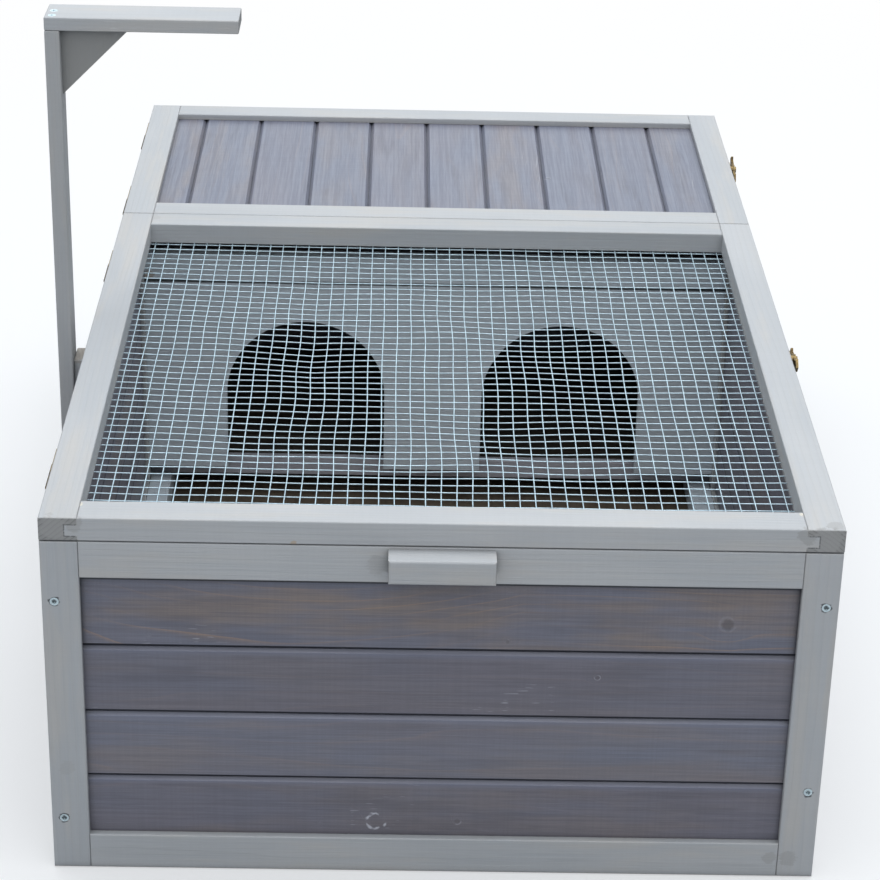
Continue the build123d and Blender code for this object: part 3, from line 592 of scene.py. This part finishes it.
# %% Stained boards
STAIN_VIOLET = (0.212, 0.195, 0.232, 1)
STAIN_BLUE = (0.185, 0.202, 0.270, 1)
STAIN_BROWN = (0.262, 0.216, 0.200, 1)
STAIN_DARK = (0.105, 0.100, 0.125, 1)
STAIN_LINE = (0.44, 0.285, 0.18, 1)
STAIN_SCUFF = (0.42, 0.42, 0.47, 1)
# Light blue for the painted highlight on bevels and arrises that face the light.
STAIN_BEVEL_LIT = (0.215, 0.235, 0.325, 1)
# Near black for the painted shade in seams and in sheltered places.
STAIN_SHADOW = (0.018, 0.019, 0.026, 1)
STAIN_FADED = (0.50, 0.50, 0.55, 1)
KNOT_CORE = (0.075, 0.06, 0.06, 1)
KNOT_RIM = (0.56, 0.56, 0.62, 1)
BOARD_PITCH = 61 * MM
BOW_REACH = 190
BEDROOM_START = 162 * MM
BEDROOM_NUMBERS = 17.0


def stained_boards(name, grain, across, seam, lines=0.35, knots=(), warmth=0.0, sky_blue=0.0,
                   lighter=0.0, darker=0.0, seam_shadow=0.9, bevel_highlight=0.55, bow=None, painted_shade=0.7,
                   streaky=0.36):
    """Violet stain over spruce boards laid side by side along one axis, from a seam.

    Lines is how strongly the latewood shows, warmth how brown the board is, lighter how far
    the stain has faded towards the frame's paint and darker how thick it lies. Four shares are
    painted light: the extra blue of a top, a painted reflection of the sky; the painted shade on
    the bevel above each seam; the painted highlight, light blue, on the bevel below it; and the
    painted shade in sheltered places. Streaky is how dark the fibres are. Bow is the middle, in
    millimetres, of a stretch where the lines sweep down, and how sharply they do, so that they
    make the long arches of a flat-sawn board.
    """
    material, tree, shader, place = start_material(name)
    parts = add(tree, "ShaderNodeSeparateXYZ", {0: place}).outputs
    behind = maths(tree, "GREATER_THAN", parts["Y"], BEDROOM_START)
    bay = maths(tree, "MULTIPLY", behind, BEDROOM_NUMBERS)
    inputs = {"Place": parts[across], "Seam": seam * MM, "Pitch": BOARD_PITCH, "Bay": bay}
    board = use_group(tree, board_group, inputs)
    along = vector(tree, "ADD", grain_place(tree, place, grain), board["Shift"])
    bulge = 0.0
    marks = []
    if bow:
        aside = maths(tree, "SUBTRACT", parts["X"], bow[0] * MM)
        aside = maths(tree, "MINIMUM", maths(tree, "MULTIPLY", aside, aside), (BOW_REACH * MM) ** 2)
        bulge = maths(tree, "MULTIPLY", aside, -bow[1])
    for centre, radius, core, rim in knots:
        inputs = {"Vector": place, "Centre": [v * MM for v in centre], "Radius": radius * MM}
        knot = use_group(tree, knot_group, inputs)
        marks.append((knot, core, rim))
        bulge = maths(tree, "ADD", bulge, knot["Bulge"])
    inputs = {"Vector": along, "Ring Width": 0.0062, "Wander": 0.036, "Bulge": bulge}
    inputs["Sharpness"] = 13.0
    wood = use_group(tree, grain_group, inputs)
    arris_edges = use_group(tree, arris_group, {"Radius": 0.0016})["Mask"]
    occlusion_shade = use_group(tree, occlusion_shade_group, {"Reach": 0.03})["Mask"]
    scuffs = use_group(tree, scuff_group, {"Vector": along, "Amount": 0.6})["Mask"]
    blue = maths(tree, "MULTIPLY", maths(tree, "ADD", wood["Patches"], board["Shade"]), 0.55)
    # Painted reflection: the extra blue share turns a top bluer, as the sky it reflects.
    blue = maths(tree, "ADD", blue, sky_blue, clamp=True)
    colour = mixed(tree, blue, STAIN_VIOLET, STAIN_BLUE)
    thin = noise(tree, along, 1.0, (6, 30, 30), detail=3, roughness=0.6)
    brown = maths(tree, "ADD", maths(tree, "MULTIPLY", board["Warmth"], 0.35), warmth)
    brown = maths(tree, "MULTIPLY", ranged(tree, thin, 0.4, 0.68, 0.1, 2.0), brown, clamp=True)
    colour = mixed(tree, brown, colour, STAIN_BROWN)
    streak = ranged(tree, wood["Fibres"], 0.0, 1.0, streaky, 0.0)
    colour = mixed(tree, streak, colour, STAIN_DARK)
    cloud = noise(tree, along, 1.0, (8, 60, 60), detail=3, roughness=0.65)
    colour = mixed(tree, ranged(tree, cloud, 0.5, 0.72, 0.0, 0.35), colour, STAIN_DARK)
    strength = ranged(tree, noise(tree, along, 1.0, (3, 40, 40), detail=1), 0.42, 0.66, 0.15, 1.0)
    strength = maths(tree, "MULTIPLY", strength, lines)
    colour = mixed(tree, maths(tree, "MULTIPLY", wood["Rings"], strength), colour, STAIN_LINE)
    colour = mixed(tree, maths(tree, "MULTIPLY", wood["Chatter"], 0.10), colour, STAIN_DARK)
    # Painted highlight: the arrises take the light blue of a bevel that faces the light.
    colour = mixed(tree, maths(tree, "MULTIPLY", arris_edges, 0.5), colour, STAIN_BEVEL_LIT)
    # Painted highlight on the upward bevel just below each seam.
    near_top = ranged(tree, board["Past Seam"], BOARD_PITCH - 9 * MM, BOARD_PITCH - 2 * MM)
    colour = mixed(tree, maths(tree, "MULTIPLY", near_top, bevel_highlight), colour, STAIN_BEVEL_LIT)
    colour = mixed(tree, darker, colour, STAIN_DARK)
    colour = mixed(tree, scuffs, colour, STAIN_SCUFF)
    colour = mixed(tree, lighter, colour, STAIN_FADED)
    for knot, core, rim in marks:
        colour = mixed(tree, maths(tree, "MULTIPLY", knot["Core"], core), colour, KNOT_CORE)
        colour = mixed(tree, maths(tree, "MULTIPLY", knot["Rim"], rim), colour, KNOT_RIM)
    # Painted shade on the downward bevel just above each seam.
    seam_shadow_mask = maths(tree, "MULTIPLY", ranged(tree, board["Past Seam"], 3.6 * MM, 2.5 * MM), seam_shadow)
    colour = mixed(tree, seam_shadow_mask, colour, STAIN_SHADOW)
    # Painted shade where the board is closed in, under the rails and the handle.
    colour = mixed(tree, maths(tree, "MULTIPLY", occlusion_shade, painted_shade, clamp=True), colour, STAIN_SHADOW)
    tree.links.new(colour, shader.inputs["Base Color"])
    rough = ranged(tree, wood["Fibres"], 0.0, 1.0, 0.50, 0.36)
    tree.links.new(rough, shader.inputs["Roughness"])
    shader.inputs["Specular IOR Level"].default_value = 0.75
    height = maths(tree, "ADD", wood["Fibres"], maths(tree, "MULTIPLY", wood["Rings"], 0.8))
    bumped(tree, shader, height, 0.00025, 0.5)
    return material


FRONT_BOARDS = {
    "front_board_1": dict(lines=0.25, warmth=0.15, darker=0.04,
                          knots=[((-49, -494, 45), 7, 0.1, 0.95), ((18, -494, 46), 3, 0.3, 0.3)]),
    "front_board_2": dict(lines=0.25, warmth=0.24, lighter=0.05),
    "front_board_3": dict(lines=0.15, warmth=-0.05, darker=0.14,
                          knots=[((127, -494, 185), 2.2, 0.3, 0.4)]),
    # Board 4 gets stronger painted shade under the top rail and the handle, and no bevel highlight.
    "front_board_4": dict(lines=0.9, warmth=0.34, bevel_highlight=0.0, bow=(-125, 0.5), painted_shade=1.5,
                          knots=[((228, -494, 236), 6, 0.45, 0.1), ((54, -494, 217), 2, 0.3, 0.4)]),
}
for name, extra in FRONT_BOARDS.items():
    dress(name, stained_boards(f"stain_{name}", "X", "Z", 85, **extra))
dress("back_boards", stained_boards("stain_back_boards", "X", "Z", 85, warmth=0.1,
                                    knots=[((90, 494, 170), 6, 0.3, 0.45),
                                           ((-180, 494, 60), 4, 0.3, 0.45)]))
dress("left_wall_boards", stained_boards("stain_left_wall_boards", "Y", "Z", 85, lighter=0.1,
                                         knots=[((-308, -320, 118), 6, 0.3, 0.45),
                                                ((-308, 330, 200), 5, 0.3, 0.45)]))
dress("right_wall_boards", stained_boards("stain_right_wall_boards", "Y", "Z", 85, lighter=0.1,
                                          knots=[((308, -210, 180), 5, 0.3, 0.45),
                                                 ((308, 60, 60), 6, 0.3, 0.45)]))
# The roof is turned bluer as a painted reflection of the sky on its top.
dress("roof_boards", stained_boards("stain_roof_boards", "Y", "X", -253, lines=0.2, warmth=0.0,
                                    sky_blue=0.45, seam_shadow=0.0, bevel_highlight=0.0, streaky=0.22,
                                    knots=[((118, 300, 319), 3, 0.3, 0.4)]))
dress("deck_front_board", stained_boards("stain_deck_front_board", "X", "Z", 85, lines=0.2,
                                         seam_shadow=0.0, bevel_highlight=0.0, lighter=0.85))
print("stained", len(FRONT_BOARDS) + 5, "pieces")

# %% [markdown]
# ## Brown floors
# The run stands on a sheet of brown ply and the bedroom on brown boards, which are seen only
# in the shade and so are darkened nearly to black with painted shade. Their figure is wide and
# soft rather than the tight rings of the walls.

# %% Brown floors
FLOOR_BROWN = (0.16, 0.125, 0.09, 1)
FLOOR_BROWN_DARK = (0.12, 0.09, 0.062, 1)
FLOOR_RING = (0.07, 0.05, 0.035, 1)
FLOOR_FIBRE = (0.06, 0.05, 0.04, 1)
FLOOR_SHADE = (0.012, 0.013, 0.013, 1)


def brown_floor(name, grain, darker=0.0):
    """Brown timber: wide rings from a shallow cut, with dust in patches, darker by a share."""
    material, tree, shader, place = start_material(name)
    along = grain_place(tree, place, grain)
    wood = use_group(tree, grain_group, {"Vector": along, "Ring Width": 0.011, "Wander": 0.09})
    colour = mixed(tree, wood["Patches"], FLOOR_BROWN_DARK, FLOOR_BROWN)
    colour = mixed(tree, maths(tree, "MULTIPLY", wood["Rings"], 0.5), colour, FLOOR_RING)
    streak = ranged(tree, wood["Fibres"], 0.0, 1.0, 0.25, 0.0)
    colour = mixed(tree, streak, colour, FLOOR_FIBRE)
    colour = mixed(tree, darker, colour, FLOOR_SHADE)
    tree.links.new(colour, shader.inputs["Base Color"])
    rough = ranged(tree, wood["Fibres"], 0.0, 1.0, 0.62, 0.8)
    tree.links.new(rough, shader.inputs["Roughness"])
    bumped(tree, shader, wood["Fibres"], 0.0003)
    return material


dress("run_floor", brown_floor("floor_ply_brown", "Y"))
# Painted shade: the bedroom boards are taken seven tenths of the way to near black.
dress("deck_boards", brown_floor("deck_boards_brown", "X", 0.7))
print("floors: run_floor, deck_boards")

# %% [markdown]
# ## Metals
# Galvanised wire has a dull bluish spangle, and zinc screws and staples are brighter, with a
# dark hollow in each screw's head. The hinges and the turn buttons have an aged-brass finish,
# dark in patches and rubbed gold on the edges. A metal's colour is its reflection, so each
# has its own colour, broken roughness and a fine bump.

# %% Metal finishes


def metal(name, light, dark, rough_low, rough_high, scale, metallic=1.0, rubbed=None, hollows=()):
    """A metal whose colour and roughness wander between two values with noise, dark in hollows."""
    material, tree, shader, place = start_material(name)
    cloud = noise(tree, place, scale, detail=4, roughness=0.6)
    fine = noise(tree, place, scale * 9, detail=2)
    mask = ranged(tree, cloud, 0.35, 0.65)
    colour = mixed(tree, mask, dark, light)
    colour = mixed(tree, ranged(tree, fine, 0.5, 0.8, 0.0, 0.35), colour, dark)
    if rubbed:
        arris_edges = use_group(tree, arris_group, {"Radius": 0.0007})["Mask"]
        colour = mixed(tree, arris_edges, colour, rubbed)
    colour = spots_on(tree, place, colour, hollows, SCREW_SHADOW)
    tree.links.new(colour, shader.inputs["Base Color"])
    tree.links.new(ranged(tree, fine, 0.3, 0.7, rough_low, rough_high), shader.inputs["Roughness"])
    shader.inputs["Metallic"].default_value = metallic
    bumped(tree, shader, fine, 0.00005, 0.3)
    return material


WIRE_LIGHT, WIRE_DARK = (0.69, 0.865, 0.95, 1), (0.52, 0.66, 0.74, 1)
ZINC_LIGHT, ZINC_DARK = (0.84, 0.89, 0.92, 1), (0.55, 0.60, 0.64, 1)
SCREW_LIGHT, SCREW_DARK = (0.80, 0.93, 0.97, 1), (0.60, 0.72, 0.76, 1)
BRASS_LIGHT, BRASS_DARK = (0.30, 0.215, 0.10, 1), (0.12, 0.085, 0.045, 1)
BRASS_RUBBED = (0.62, 0.47, 0.22, 1)
SCREW_HOLLOW = 2.1
SCREW_HOLLOW_DARK = 0.75
galvanised = metal("galvanised_wire_dull", WIRE_LIGHT, WIRE_DARK, 0.35, 0.55, 140.0, metallic=0.25)
zinc = metal("zinc_bright", ZINC_LIGHT, ZINC_DARK, 0.24, 0.42, 420.0)
hollows = [(middle / MM, SCREW_HOLLOW, SCREW_HOLLOW_DARK) for middle in screw_places]
screw_zinc = metal("zinc_screw", SCREW_LIGHT, SCREW_DARK, 0.22, 0.4, 900.0, metallic=0.35,
                   hollows=hollows)
brass = metal("brass_aged", BRASS_LIGHT, BRASS_DARK, 0.30, 0.55, 330.0, rubbed=BRASS_RUBBED)
for name in "panel_screws lamp_screws".split():
    dress(name, screw_zinc)
dress("mesh_staples", zinc)
HINGES = "hinge_pins hinge_box_leaves mesh_lid_hinge_leaves solid_lid_hinge_leaves"
LATCHES = "latch_keepers mesh_latch_base mesh_latch_wing solid_latch_base solid_latch_wing"
for name in HINGES.split() + LATCHES.split():
    dress(name, brass)
print("metals:", galvanised.name, zinc.name, screw_zinc.name, brass.name)

# %% [markdown]
# ## Welded wire mesh
# Real mesh is never flat. It comes off a roll, sags between its staples, and keeps the creases
# it got in handling, which is what the eye reads as wire rather than as a drawn grid. Curves
# with a bevel would do, but nearly a hundred of them are slow and hard to bend together. Here
# both layers of wire follow one smooth displacement field, so they stay welded where they cross.

# %% A grid of points as a mesh


def mesh_object(name, points, faces, material):
    """A mesh object at the origin from an array of points and lists of faces."""
    mesh = bpy.data.meshes.new(name)
    mesh.from_pydata(points.reshape(-1, 3).tolist(), [], faces)
    mesh.polygons.foreach_set("use_smooth", np.ones(len(mesh.polygons), bool))
    mesh.materials.append(material)
    mesh.update()
    piece = bpy.data.objects.new(name, mesh)
    scene.collection.objects.link(piece)
    print(name, len(mesh.vertices), "points,", len(mesh.polygons), "faces")
    return piece


def tube_faces(count, length, sides):
    """Quads along each of count tubes of length rings, and one cap at each end."""
    ring = np.arange(sides)
    step = np.arange(length - 1)[:, None] * sides
    quad = np.stack([step + ring, step + (ring + 1) % sides,
                     step + sides + (ring + 1) % sides, step + sides + ring], -1)
    first = np.arange(count) * length * sides
    quads = (quad.reshape(1, -1, 4) + first[:, None, None]).reshape(-1, 4)
    starts = first[:, None] + ring[::-1]
    ends = first[:, None] + (length - 1) * sides + ring
    return quads.tolist() + starts.tolist() + ends.tolist()


# %% The mesh's displacement field
WIRE_RADIUS = 0.51 * MM
WIRE_SIDES = 6
WAVES = 9
WAVE_RATE = 52
WAVE_SIZE = np.array([0.22, 0.22, 0.34])[:, None] * MM
MESH_SAG = 2.6 * MM
EDGE_SAG = 0.5 * MM
CREASE_PLACE = (-113 * MM, -110 * MM)
CREASE_DEPTH = 2.4 * MM
CREASE_WIDTH = 34 * MM
CREASE_LENGTH = 130 * MM
low, high = (np.array(corner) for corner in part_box("wire_mesh"))
middle, half = (low + high) / 2, (high - low) / 2
wave_way = random.uniform(-1, 1, (WAVES, 2)) * WAVE_RATE
wave_phase = random.uniform(0, 2 * pi, (3, WAVES))
wave_size = WAVE_SIZE * random.uniform(0.4, 1.2, (3, WAVES))


def displaced(points):
    """Add sag, waves and a crease to points, all fading to nothing at the stapled edges.

    Sag falls as one minus the square of the distance out, along both axes. Waves are sums of
    sines with random directions. The crease is a trough that fades with distance from a line.
    """
    u = (points[..., 0] - middle[0]) / half[0]
    v = (points[..., 1] - middle[1]) / half[1]
    hold = np.clip(1 - u**2, 0, 1) * np.clip(1 - v**2, 0, 1)
    edge = np.clip(1 - u**4, 0, 1) * np.clip(1 - v**4, 0, 1)
    phase = points[..., :2] @ wave_way.T
    waves = np.stack([(np.sin(phase + wave_phase[k]) * wave_size[k]).sum(-1) for k in range(3)], -1)
    from_line = (points[..., 0] - CREASE_PLACE[0]) / CREASE_WIDTH
    along_line = (points[..., 1] - CREASE_PLACE[1]) / CREASE_LENGTH
    crease = -CREASE_DEPTH * np.exp(-np.abs(from_line)) * np.exp(-(along_line**2))
    moved = points + waves * edge[..., None]
    moved[..., 2] += crease - MESH_SAG * hold - EDGE_SAG * edge
    return moved


print("mesh spans", np.round(low, 4), "to", np.round(high, 4))

# %% Wires both ways
COUNT_ACROSS = 47
COUNT_ALONG = 50
SAMPLES = 110
LAYER_STEP = 1.75 * WIRE_RADIUS


def wire_layer(count, axis, height):
    """Straight wires along one axis, spaced evenly along the other, displaced and made round.

    Points: the centre line moved by the field, plus a ring of the wire's radius square to it.
    """
    other = 1 - axis
    inset = WIRE_RADIUS * 1.02
    place = np.linspace(low[other] + inset, high[other] - inset, count)
    run = np.linspace(low[axis], high[axis], SAMPLES)
    line = np.zeros((count, SAMPLES, 3))
    line[..., other] = place[:, None]
    line[..., axis] = run
    line[..., 2] = height
    line = displaced(line)
    line[..., axis] = run
    angle = np.arange(WIRE_SIDES) * 2 * pi / WIRE_SIDES
    ring = np.zeros((WIRE_SIDES, 3))
    ring[:, other] = np.cos(angle) * WIRE_RADIUS * (1 if axis == 0 else -1)
    ring[:, 2] = np.sin(angle) * WIRE_RADIUS
    return line[:, :, None, :] + ring


top_of_mesh = high[2] - WIRE_RADIUS
along_y = wire_layer(COUNT_ACROSS, 1, top_of_mesh)
along_x = wire_layer(COUNT_ALONG, 0, top_of_mesh - LAYER_STEP)
for label, layer in (("lengthways", along_y), ("crossways", along_x)):
    faces = tube_faces(len(layer), SAMPLES, WIRE_SIDES)
    piece = mesh_object(f"wires_{label}", layer, faces, galvanised)
    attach(piece, "mesh_lid")
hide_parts("wire_mesh")

# %% [markdown]
# ## Small screws
# The hinge leaves and the latch plates are held by small pan-head screws with a cross in each
# head. A head is a surface of revolution, but the cross isn't round, so the height is worked
# out on a polar grid: a dome, with a cross-shaped hollow taken out of it.

# %% Screw heads
HEAD_RINGS, HEAD_SPOKES = 9, 32
CROSS_WIDTH, CROSS_REACH, CROSS_DEPTH = 0.14, 0.58, 0.45


def head_points(centre, outward, radius, height):
    """A dome on a polar grid, height times the root of one less the square of the distance out,
    less a hollow where the point lies in either bar of a cross, standing along outward."""
    out = np.linspace(0.02, 1, HEAD_RINGS)[:, None]
    angle = np.arange(HEAD_SPOKES) * 2 * pi / HEAD_SPOKES
    a, b = out * np.cos(angle), out * np.sin(angle)
    near, far = np.minimum(np.abs(a), np.abs(b)), np.maximum(np.abs(a), np.abs(b))
    inside = (near < CROSS_WIDTH) & (far < CROSS_REACH)
    rise = height * np.sqrt(np.clip(1 - out**2, 0, 1) * 0.8 + 0.2) * np.ones_like(a)
    rise = np.where(inside, rise - CROSS_DEPTH * height, rise)
    grid = np.stack([rise, a * radius, b * radius], -1)
    foot = np.stack([0 * a[-1], a[-1] * radius, b[-1] * radius], -1)[None]
    grid = np.concatenate([grid, foot])
    if outward < 0:
        grid[..., 0] *= -1
        grid = grid[:, ::-1]
    return grid + np.array(centre)


def screw_heads(name, body, centres, outward, radius, height, material, slot):
    """Screw heads as one piece, facing along X, riding on a body."""
    heads = np.stack([head_points(c, outward, radius, height) for c in centres])
    faces = tube_faces(len(heads), heads.shape[1], heads.shape[2])
    piece = mesh_object(name, heads, faces, material)
    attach(piece, body)


LEAF_GAP = 50 * MM


def leaf_middles(node):
    """The middle along Y of each hinge leaf in a CAD piece, split where its corners leave a gap."""
    co = np.array([v.co for v in nodes[node].data.vertices])
    ends = np.sort(co[:, 1])
    gaps = np.where(np.diff(ends) > LEAF_GAP)[0]
    starts = [ends[0]] + [ends[i + 1] for i in gaps]
    stops = [ends[i] for i in gaps] + [ends[-1]]
    return [(a + b) / 2 for a, b in zip(starts, stops)]


HINGE_FACE = -315.5 * MM
HINGE_AXIS_HEIGHT = frame["joints"][0]["pos_m"][2]
LEAF_SCREW_OFFSET = 13 * MM
LEAF_SCREW_DROP = 10.5 * MM
LEAF_HEAD = (2.3 * MM, 1.1 * MM)
LATCH_PLATE = 1.5 * MM
LATCH_SCREW_OFFSET = 8.6 * MM
LATCH_HEAD = (1.7 * MM, 0.9 * MM)
for label, body, node, side in (
    ("box", "hutch_box", "hinge_box_leaves", -1),
    ("mesh_lid", "mesh_lid", "mesh_lid_hinge_leaves", 1),
    ("solid_lid", "solid_lid", "solid_lid_hinge_leaves", 1),
):
    z = HINGE_AXIS_HEIGHT + side * LEAF_SCREW_DROP
    centres = [
        (HINGE_FACE, y + offset, z)
        for y in leaf_middles(node)
        for offset in (-LEAF_SCREW_OFFSET, LEAF_SCREW_OFFSET)
    ]
    screw_heads(f"hinge_screws_{label}", body, centres, -1, *LEAF_HEAD, brass, "antique_brass")
for label in ("mesh", "solid"):
    base_low, base_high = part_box(f"{label}_latch_base")
    base_y = (base_low.y + base_high.y) / 2
    base_z = (base_low.z + base_high.z) / 2
    centres = [
        (base_low.x + LATCH_PLATE, base_y + offset, base_z)
        for offset in (-LATCH_SCREW_OFFSET, LATCH_SCREW_OFFSET)
    ]
    screw_heads(f"{label}_latch_screws", f"{label}_lid", centres, 1, *LATCH_HEAD, brass,
                "antique_brass")

# %% [markdown]
# ## Floor and light
# The hutch stands on a plain pale floor under one broad soft light from above, as on a studio
# sweep. Its tops are therefore much brighter than its front. A floor this bright would throw
# too much light back up at the front, so it shows its pale colour to the camera and a darker
# one to the light that bounces from it. Further out it fades to plain white, so that the floor
# and the backdrop meet without an edge.

# %% Floor
FLOOR_PALE, FLOOR_PALEST = (0.86, 0.87, 0.88, 1), (0.9, 0.9, 0.91, 1)
FLOOR_BOUNCE = (0.42, 0.44, 0.46, 1)
WHITE = (1, 1, 1, 1)
FADE_FROM, FADE_TO = 0.45, 2.6


def sweep_material():
    """Pale to the camera, darker to bounced light, and fading to white away from the hutch."""
    material, tree, shader, place = start_material("studio_floor")
    drift = noise(tree, place, 0.8, detail=2)
    seen = add(tree, "ShaderNodeLightPath").outputs["Is Camera Ray"]
    pale = mixed(tree, drift, FLOOR_PALE, FLOOR_PALEST)
    tree.links.new(mixed(tree, seen, FLOOR_BOUNCE, pale), shader.inputs["Base Color"])
    shader.inputs["Roughness"].default_value = 0.9
    shader.inputs["Specular IOR Level"].default_value = 0.1
    white = add(tree, "ShaderNodeEmission", {"Color": WHITE, "Strength": 1.0})
    away = vector(tree, "LENGTH", place)
    faded = maths(tree, "MULTIPLY", seen, ranged(tree, away, FADE_FROM, FADE_TO, 0.35, 1.0))
    both = add(tree, "ShaderNodeMixShader", {0: faded, 1: shader.outputs[0], 2: white.outputs[0]})
    output = next(node for node in tree.nodes if node.type == "OUTPUT_MATERIAL")
    tree.links.new(both.outputs[0], output.inputs["Surface"])
    return material


SWEEP = 40
FLOOR_DROP = (0, 0, 0.0005)
corners = np.array([(-1, -1, 0), (1, -1, 0), (1, 1, 0), (-1, 1, 0)]) * (SWEEP, SWEEP, 1)
floor = mesh_object("studio_floor", corners - FLOOR_DROP, [[0, 1, 2, 3]], sweep_material())

# %% Light
DOME_LOW, DOME_HIGH = (0.20, 0.215, 0.235, 1), (0.92, 0.96, 1.0, 1)
HUTCH_MIDDLE = Vector((0, 0, 0.2))
scene.view_settings.view_transform = "Standard"
world = bpy.data.worlds.new("studio_sky")
world.use_nodes = True
scene.world = world
sky = world.node_tree
sky.nodes.clear()
up = add(sky, "ShaderNodeSeparateXYZ", {0: add(sky, "ShaderNodeTexCoord").outputs["Generated"]})
height = ranged(sky, up.outputs["Z"], -0.1, 0.95)
dome = mixed(sky, height, DOME_LOW, DOME_HIGH)
dome_light = add(sky, "ShaderNodeBackground", {"Color": dome, "Strength": 1.0})
backdrop = add(sky, "ShaderNodeBackground", {"Color": WHITE, "Strength": 1.0})
seen = add(sky, "ShaderNodeLightPath").outputs["Is Camera Ray"]
both = add(sky, "ShaderNodeMixShader", {0: seen, 1: dome_light.outputs[0], 2: backdrop.outputs[0]})
add(sky, "ShaderNodeOutputWorld", {"Surface": both.outputs[0]})


def softbox(name, place, size, power, tint=(1, 1, 1)):
    """A square area light aimed at the middle of the hutch."""
    data = bpy.data.lights.new(name, "AREA")
    data.shape = "SQUARE"
    data.size = size
    data.energy = power
    data.color = tint
    light = bpy.data.objects.new(name, data)
    light.location = place
    toward = HUTCH_MIDDLE - Vector(place)
    light.rotation_euler = toward.to_track_quat("-Z", "Y").to_euler()
    scene.collection.objects.link(light)


softbox("overhead", (0.2, 0.2, 3.2), 2.6, 42, (0.95, 0.985, 1))
softbox("back_sky", (0, 4.6, 2.5), 3.0, 28, (0.86, 0.94, 1))
softbox("front_fill", (0.4, -2.7, 2.2), 1.8, 9.6)
